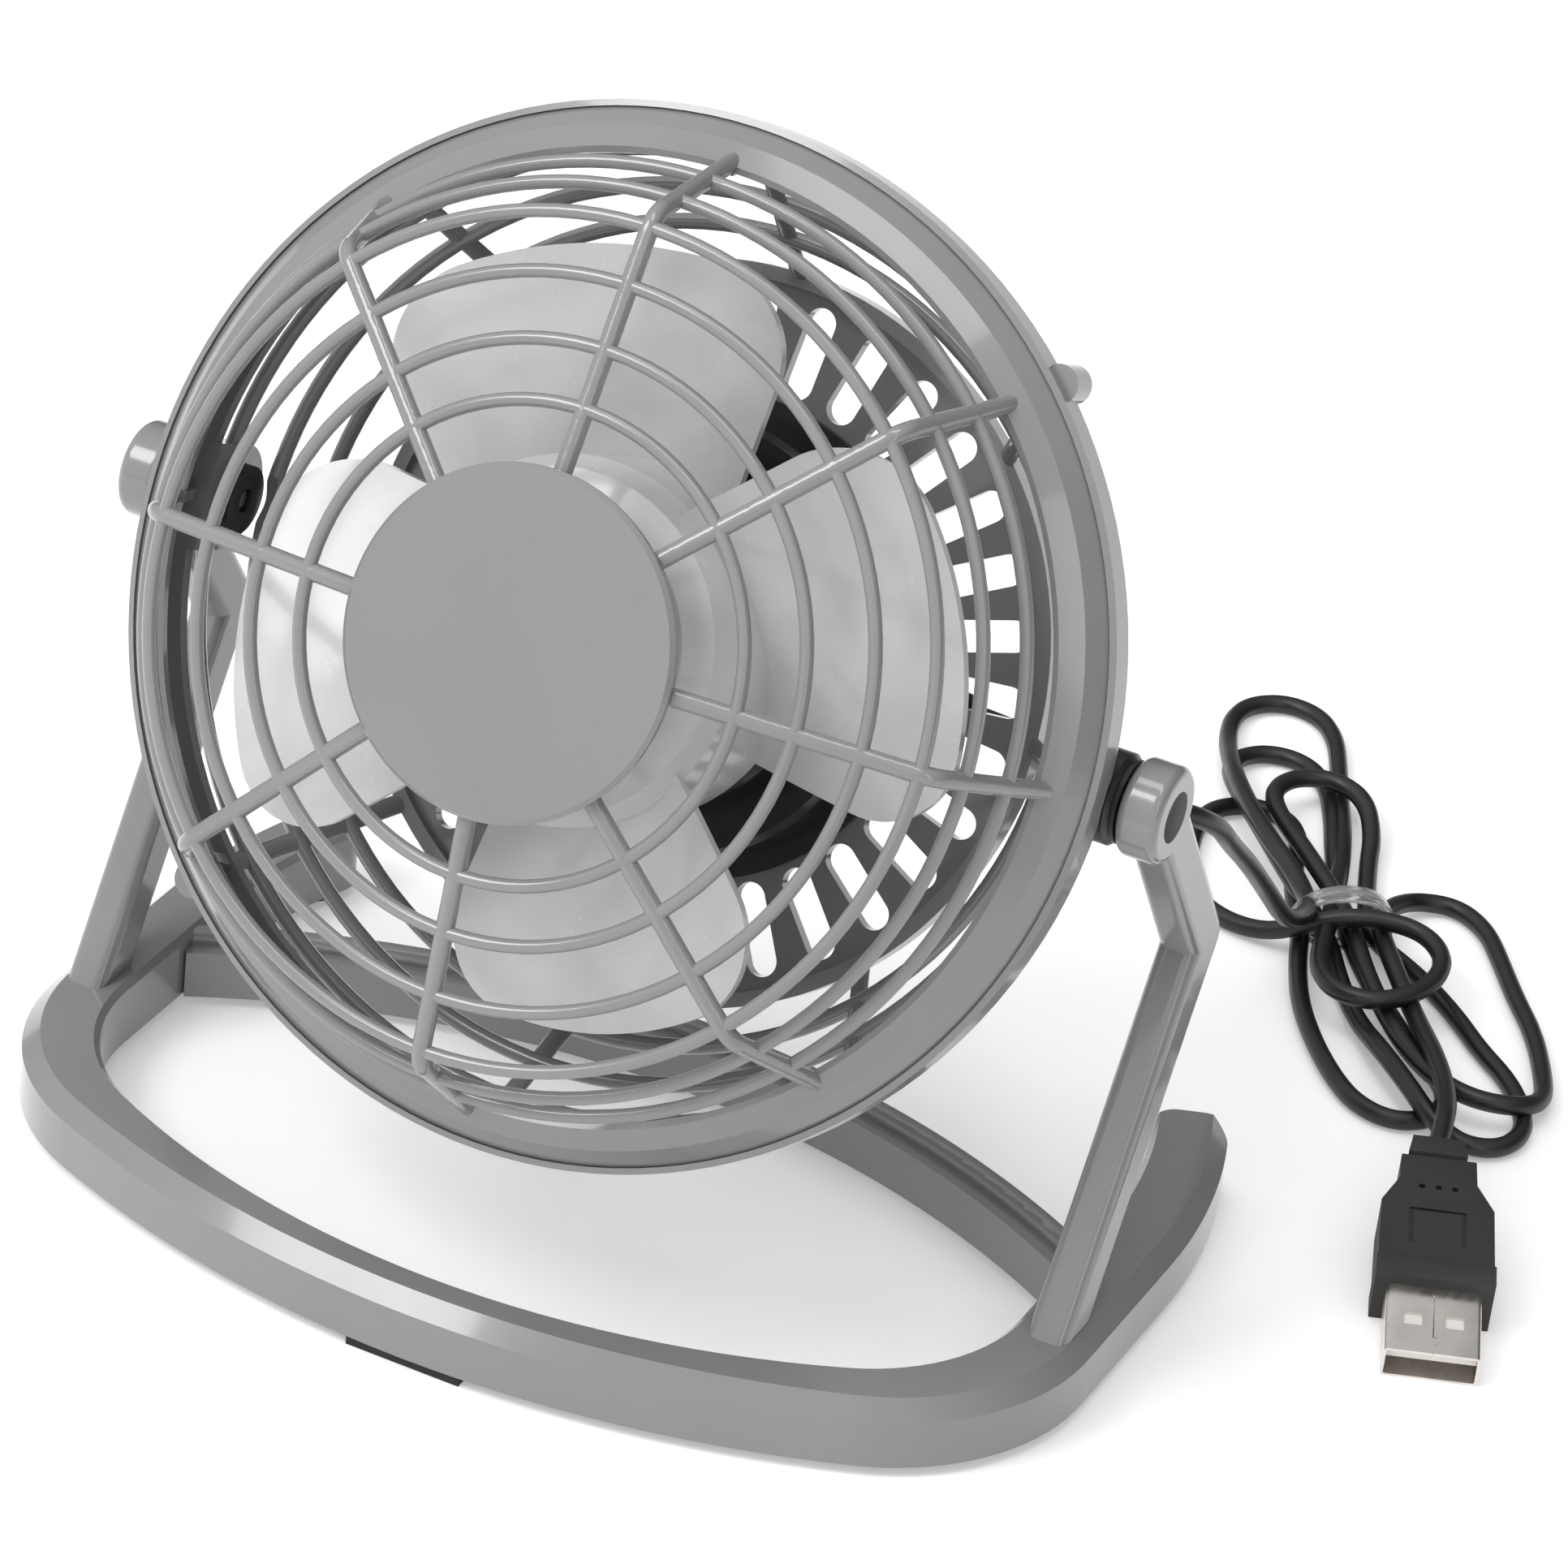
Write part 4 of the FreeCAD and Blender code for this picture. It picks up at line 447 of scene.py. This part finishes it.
# %% [markdown]
# The plug is made where it is easy to measure, with its nose at the origin and its length along z, and then
# put in place. It lies nose down: the front edge of its grip and the tip of its metal shell touch the
# floor. The shell is the kind with two square latch windows on each broad side and a folded seam.

# %% The plug's grip
SHELL_LENGTH, SHELL_WIDTH, SHELL_HEIGHT = 12.0, 12.0, 4.5
GRIP_WIDTH, GRIP_HEIGHT, GRIP_NOSE = 15.0, 7.8, 3.6
# how far each further length of the grip reaches back, and its end's share of the last width and height
GRIP_LENGTHS = ((0.15, 0.975, 0.93), (10.4, 0.975, 1.0), (4.6, 0.69, 1.0), (4.6, 0.97, 0.96),
                (0.3, 0.62, 0.62), (1.1, 1.0, 1.0), (0.3, 1.28, 1.28), (3.4, 0.86, 0.9))
PANEL_HALF, PANEL_START, PANEL_END = 3.6, 18.6, 25.2
PAD_HALF, PAD_START, PAD_END = 3.1, 18.2, 24.7
PANEL_DEEP, PANEL_SHALLOW = 3.3, 5.0
DOT_RADIUS, DOT_DEPTH, DOT_SPACING, DOT_PLACE, DOT_HEIGHT = 0.42, 2.4, 2.1, 29.4, 4.2

grip = fresh_box("plug_grip", (-0.5 * GRIP_WIDTH, -0.5 * GRIP_HEIGHT, SHELL_LENGTH),
                 (0.5 * GRIP_WIDTH, 0.5 * GRIP_HEIGHT, SHELL_LENGTH + GRIP_NOSE))
for back, width, height in GRIP_LENGTHS:
    stretch_end(grip, back, width, height)
cutters = []
for side in (1, -1):
    low_face, high_face = sorted((side * PANEL_DEEP, side * PANEL_SHALLOW))
    panel = fresh_box("panel", (-PANEL_HALF, low_face, PANEL_START), (PANEL_HALF, high_face, PANEL_END))
    pad = fresh_box("pad", (-PAD_HALF, low_face - 1, PAD_START), (PAD_HALF, high_face + 1, PAD_END))
    carve(panel, [pad])
    cutters.append(panel)
    for place in (-DOT_SPACING, 0, DOT_SPACING):
        dot = fresh_rod("dot", DOT_RADIUS, 0, DOT_DEPTH, sides=16)
        dot.data.transform(Matrix.Translation((place, side * DOT_HEIGHT, DOT_PLACE))
                           @ Matrix.Rotation(math.pi / 2, 4, "X")
                           @ Matrix.Translation((0, 0, -0.5 * DOT_DEPTH)))
        cutters.append(dot)
soften(grip, 0.55, segments=3, angle=20)
carve(grip, cutters)
print("grip faces", len(grip.data.polygons))

# %% [markdown]
# The metal shell starts as a box without its two ends, so that a wall thickness makes a tube of it. Its seam
# is a hair-thin groove down the middle of one broad side, with a small step and a foot.

# %% The plug's metal shell and its contacts
WALL, CORNER_ROUND = 0.34, 0.55
WINDOW_PLACE, WINDOW_HALF, WINDOW_START, WINDOW_END = 2.6, 1.2, 4.9, 7.0
WINDOW_FACE, WINDOW_REACH = 2.2, 0.9
SEAM_WIDTH, SEAM_LOW, SEAM_HIGH = 0.14, 2.05, 3
STEP_LEFT, STEP_START, STEP_END, FOOT_START, FOOT_RIGHT = -0.75, 1.5, 2.9, 10.5, 0.2
OVERLAP = 0.1
CONTACT_PLACES = (-3.5, -1, 1, 3.5)
CONTACT_HALF, CONTACT_LOW, CONTACT_HIGH, CONTACT_START, CONTACT_END = 0.5, 0.1, 0.22, 1.4, 10.5

shell = fresh_box("plug_shell", (-0.5 * SHELL_WIDTH, -0.5 * SHELL_HEIGHT, 0),
                  (0.5 * SHELL_WIDTH, 0.5 * SHELL_HEIGHT, SHELL_LENGTH + 0.2))
pick_faces(shell, lambda middle, normal: abs(normal.z) > 0.9)
bpy.ops.mesh.delete(type="FACE")
bpy.ops.object.mode_set(mode="OBJECT")
apply_modifier(shell, "BEVEL", width=CORNER_ROUND, segments=4, limit_method="ANGLE",
               angle_limit=math.radians(40))
apply_modifier(shell, "SOLIDIFY", thickness=WALL, offset=-1)
carve(shell, [fresh_box("window", (middle - WINDOW_HALF, face - WINDOW_REACH, WINDOW_START),
                        (middle + WINDOW_HALF, face + WINDOW_REACH, WINDOW_END))
              for middle in (-WINDOW_PLACE, WINDOW_PLACE) for face in (-WINDOW_FACE, WINDOW_FACE)])
middle_right = 0.5 * SEAM_WIDTH
# the left, right, start and end of each stroke of the seam
SEAM_STROKES = ((-middle_right, middle_right, STEP_END, FOOT_START + OVERLAP),
                (-middle_right, middle_right, -0.5, STEP_START),
                (STEP_LEFT, STEP_LEFT + SEAM_WIDTH, STEP_START, STEP_END + OVERLAP),
                (STEP_LEFT, middle_right, STEP_START, STEP_START + SEAM_WIDTH),
                (STEP_LEFT, middle_right, STEP_END, STEP_END + SEAM_WIDTH),
                (STEP_LEFT, FOOT_RIGHT, FOOT_START, FOOT_START + SEAM_WIDTH))
carve(shell, [fresh_box("seam", (left, SEAM_LOW, start), (right, SEAM_HIGH, end))
              for left, right, start, end in SEAM_STROKES])
soften(shell, 0.05, segments=1, angle=50)
contacts = joined("plug_contacts", [
    fresh_box("contact", (middle - CONTACT_HALF, CONTACT_LOW, CONTACT_START),
              (middle + CONTACT_HALF, CONTACT_HIGH, CONTACT_END)) for middle in CONTACT_PLACES])
soften(contacts, 0.04, segments=1)
print("shell faces", len(shell.data.polygons))

# %% Lay the plug on the floor
PLUG_NOSE = beside_axis(106, 22, 0)
HEADING = Vector((0.385, -0.923, 0)).normalized()
pitch = math.atan2(0.5 * (GRIP_HEIGHT - SHELL_HEIGHT), SHELL_LENGTH)
backward = -HEADING * math.cos(pitch) + Vector((0, 0, math.sin(pitch)))
sideways = Vector((0, 0, 1)).cross(backward).normalized()
upward = backward.cross(sideways)
lying = Matrix((sideways, upward, backward)).transposed().to_4x4()
nose = PLUG_NOSE + Vector((0, 0, 0.5 * SHELL_HEIGHT * MM * math.cos(pitch)))
plug_matrix = Matrix.Translation(nose) @ lying
for piece in (grip, shell, contacts):
    settle(piece, plug_matrix)
print("plug nose at", tuple(round(value, 4) for value in nose))

# %% [markdown]
# Every screw on the fan has a cross slot, which is what catches the eye on a real screw. Each one is modelled
# to the size of its plain twin in the engineering model, with a pan head whose cross is carved, and then
# takes the twin's place. All its other sizes are shares of its radius or of its head's height.

# %% Screws with cross slots
SCREW_AXES = {
    "housing_screw_top": -FORWARD, "housing_screw_left": -FORWARD, "housing_screw_right": -FORWARD,
    "guard_screw_upper": -FORWARD, "guard_screw_lower": -FORWARD,
    "pivot_screw_left": Vector((-1, 0, 0)), "pivot_screw_right": Vector((1, 0, 0)),
}
HEAD_HEIGHT, SHANK_RADIUS, HEAD_ROUND = 0.62, 0.52, 0.18
SLOT_HALF, SLOT_REACH, SLOT_DEPTH = 0.13, 0.6, 0.45
END_DEPTH = 0.02 * MM        # points this near to the end count as its flat face


def end_face(node, direction):
    """The middle and radius of a node's flat end in a direction, and how far the node reaches behind it."""
    points = [vertex.co for vertex in frame["nodes"][node].data.vertices]
    reach = [point.dot(direction) for point in points]
    top = max(reach)
    rim = [point for point, value in zip(points, reach) if value > top - END_DEPTH]
    low = Vector([min(point[axis] for point in rim) for axis in range(3)])
    high = Vector([max(point[axis] for point in rim) for axis in range(3)])
    middle = 0.5 * (low + high)
    widest = max((point - middle - direction * (point - middle).dot(direction)).length for point in points)
    return middle, widest, top - min(reach)


def cross_screw(node, direction):
    """A pan-head screw whose head, cross slot and length follow the node that it stands for."""
    middle, radius, length = end_face(node, direction)
    radius, length = radius / MM, length / MM
    head = HEAD_HEIGHT * radius
    piece = fresh_rod(node.replace("screw", "cross_screw"), radius, -head, 0, sides=32)
    pick_faces(piece, lambda centre, normal: normal.z < -0.9)
    bpy.ops.mesh.extrude_region_move(TRANSFORM_OT_translate={"value": (0, 0, 0)})
    bpy.ops.transform.resize(value=(SHANK_RADIUS, SHANK_RADIUS, 1), center_override=(0, 0, -head))
    bpy.ops.mesh.extrude_region_move(TRANSFORM_OT_translate={"value": (0, 0, head - length)})
    bpy.ops.object.mode_set(mode="OBJECT")
    soften(piece, HEAD_ROUND * radius, segments=3, angle=60)
    half, reach, depth = SLOT_HALF * radius, SLOT_REACH * radius, SLOT_DEPTH * head
    carve(piece, [fresh_box("slot", (-reach, -half, -depth), (reach, half, 1)),
                  fresh_box("slot", (-half, -reach, -depth), (half, reach, 1))])
    settle(piece, Matrix.Translation(middle) @ direction.to_track_quat("Z", "Y").to_matrix().to_4x4())
    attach(piece, "head")
    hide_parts(node)
    return piece


screws = [cross_screw(node, direction) for node, direction in SCREW_AXES.items()]
print("screws", [piece.name for piece in screws])

# %% [markdown]
# Materials come next. Real moulded plastic is never one flat colour: the pigment flows unevenly, the skin
# has a fine grain from the steel mould, and handling leaves faint smears that dull the gloss. One node group
# holds these three effects, so every plastic and rubber on the fan can use it with its own values.

# %% A node group for moulded skins
def new_group(name, inputs, outputs):
    """An empty shader node group with float or vector inputs and float outputs."""
    group = bpy.data.node_groups.new(name, "ShaderNodeTree")
    for label, kind, value in inputs:
        socket = group.interface.new_socket(label, in_out="INPUT", socket_type=kind)
        if value is not None:
            socket.default_value = value
    for label in outputs:
        group.interface.new_socket(label, in_out="OUTPUT", socket_type="NodeSocketFloat")
    return group, group.nodes.new("NodeGroupInput"), group.nodes.new("NodeGroupOutput")


def feed(tree, socket, value):
    """Set a socket to a number, or link another node's output to it."""
    if isinstance(value, (int, float)):
        socket.default_value = value
    else:
        tree.links.new(value, socket)


def noise(tree, vector, scale, detail, rough=0.5, distortion=0.0):
    """A noise texture's value output; scale is a number or a socket."""
    node = tree.nodes.new("ShaderNodeTexNoise")
    node.inputs["Detail"].default_value = detail
    node.inputs["Roughness"].default_value = rough
    node.inputs["Distortion"].default_value = distortion
    tree.links.new(vector, node.inputs["Vector"])
    feed(tree, node.inputs["Scale"], scale)
    return node.outputs["Fac"]


def calculate(tree, operation, *values):
    """A math node on numbers or sockets."""
    node = tree.nodes.new("ShaderNodeMath")
    node.operation = operation
    for socket, value in zip(node.inputs, values):
        feed(tree, socket, value)
    return node.outputs["Value"]


def spread_range(tree, value, low, high, to_low=0.0, to_high=1.0):
    """Map a value from one range to another, clamped."""
    node = tree.nodes.new("ShaderNodeMapRange")
    for label, number in (("From Min", low), ("From Max", high), ("To Min", to_low), ("To Max", to_high)):
        feed(tree, node.inputs[label], number)
    tree.links.new(value, node.inputs["Value"])
    return node.outputs["Result"]


skin_group, skin_in, skin_out = new_group(
    "moulded_skin",
    [("Place", "NodeSocketVector", None), ("Flow Scale", "NodeSocketFloat", 30.0),
     ("Grain Scale", "NodeSocketFloat", 2500.0), ("Gloss Low", "NodeSocketFloat", 0.2),
     ("Gloss High", "NodeSocketFloat", 0.35)],
    ["Flow", "Roughness", "Grain"])
flow = noise(skin_group, skin_in.outputs["Place"], skin_in.outputs["Flow Scale"], detail=4, distortion=0.6)
smear = noise(skin_group, skin_in.outputs["Place"],
              calculate(skin_group, "MULTIPLY", skin_in.outputs["Flow Scale"], 3.1), detail=6, rough=0.6)
grain = noise(skin_group, skin_in.outputs["Place"], skin_in.outputs["Grain Scale"], detail=2)
skin_group.links.new(spread_range(skin_group, flow, 0.3, 0.7), skin_out.inputs["Flow"])
skin_group.links.new(spread_range(skin_group, smear, 0.35, 0.7, skin_in.outputs["Gloss Low"],
                                  skin_in.outputs["Gloss High"]), skin_out.inputs["Roughness"])
skin_group.links.new(grain, skin_out.inputs["Grain"])
print("group", skin_group.name)

# %% [markdown]
# Metals need another pattern. Plated steel shows fine turning marks and cloudy plating, so the second group
# stretches its noise along one direction and mixes in soft clouds.

# %% A node group for plated metal
metal_group, metal_in, metal_out = new_group(
    "plated_metal",
    [("Place", "NodeSocketVector", None), ("Line Scale", "NodeSocketFloat", 900.0),
     ("Gloss Low", "NodeSocketFloat", 0.2), ("Gloss High", "NodeSocketFloat", 0.4)],
    ["Cloud", "Roughness", "Lines"])
stretch = metal_group.nodes.new("ShaderNodeMapping")
stretch.inputs["Scale"].default_value = (1, 0.12, 0.12)
metal_group.links.new(metal_in.outputs["Place"], stretch.inputs["Vector"])
lines = noise(metal_group, stretch.outputs["Vector"], metal_in.outputs["Line Scale"], detail=3)
cloud = noise(metal_group, metal_in.outputs["Place"],
              calculate(metal_group, "MULTIPLY", metal_in.outputs["Line Scale"], 0.25), detail=4)
metal_group.links.new(spread_range(metal_group, cloud, 0.3, 0.7), metal_out.inputs["Cloud"])
metal_group.links.new(spread_range(metal_group, lines, 0.3, 0.7, metal_in.outputs["Gloss Low"],
                                   metal_in.outputs["Gloss High"]), metal_out.inputs["Roughness"])
metal_group.links.new(lines, metal_out.inputs["Lines"])
print("group", metal_group.name)

# %% [markdown]
# Each finish is one material. Its two colours are the ends between which the pigment flows, and what is the
# same all over, such as the coat's weight, is set on the shader itself.

# %% Finishes
SCREEN_GAMMA = 2.2


def tint(level, warmth=0.0):
    """A grey as linear colour from a screen level of 0 to 255, a little warm or cool."""
    linear = (level / 255) ** SCREEN_GAMMA
    return (linear * (1 + warmth), linear, linear * (1 - warmth), 1)


def finish(name, dark, light, group, values, masks, bump, **constants):
    """A material whose colour, roughness and bump come from a group, with fixed values on the shader.

    The bump is a strength, and a height in millimetres.
    """
    material = bpy.data.materials.new(name)
    material.use_nodes = True
    tree = material.node_tree
    shader = tree.nodes["Principled BSDF"]
    place = tree.nodes.new("ShaderNodeTexCoord")
    effect = tree.nodes.new("ShaderNodeGroup")
    effect.node_tree = group
    tree.links.new(place.outputs["Object"], effect.inputs["Place"])
    for label, value in values.items():
        effect.inputs[label].default_value = value
    colour, rough, height = masks
    mix = tree.nodes.new("ShaderNodeMix")
    mix.data_type = "RGBA"
    mix.inputs["A"].default_value = dark
    mix.inputs["B"].default_value = light
    tree.links.new(effect.outputs[colour], mix.inputs["Factor"])
    tree.links.new(mix.outputs["Result"], shader.inputs["Base Color"])
    tree.links.new(effect.outputs[rough], shader.inputs["Roughness"])
    relief = tree.nodes.new("ShaderNodeBump")
    relief.inputs["Strength"].default_value = bump[0]
    relief.inputs["Distance"].default_value = bump[1] * MM
    tree.links.new(effect.outputs[height], relief.inputs["Height"])
    tree.links.new(relief.outputs["Normal"], shader.inputs["Normal"])
    for label, value in constants.items():
        shader.inputs[label.replace("_", " ")].default_value = value
    return material


SKIN = ("Flow", "Roughness", "Grain")
METAL = ("Cloud", "Roughness", "Lines")
PLATED_BUMP = (0.15, 0.02)


def moulded(name, dark, light, gloss, flow_scale=30, grain_scale=2500, bump=(0.1, 0.02), **constants):
    """A plastic or rubber finish."""
    values = {"Flow Scale": flow_scale, "Grain Scale": grain_scale, "Gloss Low": gloss[0],
              "Gloss High": gloss[1]}
    return finish(name, dark, light, skin_group, values, SKIN, bump, **constants)


def plated(name, dark, light, gloss, line_scale=900):
    """A metal finish."""
    values = {"Line Scale": line_scale, "Gloss Low": gloss[0], "Gloss High": gloss[1]}
    return finish(name, dark, light, metal_group, values, METAL, PLATED_BUMP, Metallic=1.0)


grey_plastic = moulded("grey_plastic", tint(119, -0.012), tint(125, -0.012), (0.16, 0.22), Coat_Weight=0.6,
                       Coat_Roughness=0.06)
blade_plastic = moulded("blade_plastic", tint(176, 0.002), tint(202, 0.002), (0.2, 0.3), flow_scale=38,
                        Coat_Weight=0.4, Coat_Roughness=0.1)
black_plastic = moulded("black_plastic", tint(26), tint(34), (0.32, 0.45), bump=(0.2, 0.03))
black_gloss = moulded("black_gloss", tint(38), tint(46), (0.12, 0.22), Coat_Weight=0.3,
                      Coat_Roughness=0.08)
black_rubber = moulded("black_rubber", tint(28), tint(38), (0.6, 0.8), bump=(0.5, 0.05))
cord_jacket = moulded("cord_jacket", tint(24, 0.05), tint(31, 0.05), (0.34, 0.46), bump=(0.15, 0.03))
overmold = moulded("overmold", tint(44, 0.02), tint(54, 0.02), (0.62, 0.75), grain_scale=4200,
                   bump=(0.6, 0.05))
insulator = moulded("insulator", tint(205, 0.05), tint(220, 0.05), (0.4, 0.5))
zinc_steel = plated("zinc_steel", tint(168), tint(192), (0.25, 0.42))
nickel = plated("nickel", tint(205, 0.05), tint(228, 0.05), (0.2, 0.34), line_scale=600)
magnet = plated("magnet", tint(80), tint(104), (0.45, 0.6))
brass = plated("brass", (0.5, 0.3, 0.09, 1), (0.72, 0.47, 0.18, 1), (0.22, 0.4))
clear_plastic = moulded("clear_plastic", tint(235), tint(250), (0.06, 0.14), Transmission_Weight=0.9,
                        IOR=1.46)
print("finishes", len(bpy.data.materials) - 1)

# %% [markdown]
# Every piece now gets its finish. The table goes by what each piece is made of on the real fan, so one look
# at it tells which parts share a plastic.

# %% Dress the fan
FINISHES = {
    "base_frame": grey_plastic, "end_cap_left": grey_plastic, "end_cap_right": grey_plastic,
    "arm_left": grey_plastic, "arm_right": grey_plastic, "front_grille": grey_plastic,
    "hub_badge": grey_plastic, "rear_guard": grey_plastic, "impeller": blade_plastic,
    "pivot_boss_left": black_plastic, "pivot_boss_right": black_plastic, "washer_left": black_plastic,
    "washer_right": black_plastic, "motor_housing": black_gloss, "rear_cover": grey_plastic,
    "switch_body": black_plastic, "rocker": black_gloss, "cord_gland": black_rubber,
    "foot_pad_front": black_rubber, "foot_pad_left": black_rubber, "foot_pad_right": black_rubber,
    "motor_can": zinc_steel, "motor_magnets": magnet, "motor_end_cap": black_plastic,
    "motor_shaft": zinc_steel, "rotor_core": magnet, "commutator": brass, "usb_tongue": insulator,
    "cord_lead": cord_jacket, "power_cord": cord_jacket, "cord_hank": cord_jacket, "plug_lead": cord_jacket,
    "cord_tie": clear_plastic, "usb_overmold": overmold, "usb_shell": nickel,
    **{node: zinc_steel for node in SCREW_AXES},
}


def dress(piece, material):
    """One finish over a whole piece."""
    piece.data.materials.clear()
    piece.data.materials.append(material)


for node, material in FINISHES.items():
    dress(frame["nodes"][node], material)
for piece in screws:
    dress(piece, zinc_steel)
dress(lead, cord_jacket)
dress(tie, clear_plastic)
dress(grip, overmold)
dress(shell, nickel)
dress(contacts, brass)
print("undressed nodes", sorted(set(frame["nodes"]) - set(FINISHES)))

# %% [markdown]
# Last, the plug and the tie are told that they move with the stand, and the engineering model's own lead
# is hidden. The new lead starts at the gland, which tilts with the head, and ends on the floor; it is tied
# to no body, and only its place is baked into its mesh.

# %% Tie the pieces to the bodies
for piece, node, slot in ((tie, "cord_tie", "clear_tie"), (grip, "usb_overmold", "overmold"),
                          (shell, "usb_shell", "nickel")):
    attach(piece, "stand")
    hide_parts(node)
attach(contacts, "stand")
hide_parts("cord_lead", "power_cord", "cord_hank", "plug_lead")
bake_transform(lead)
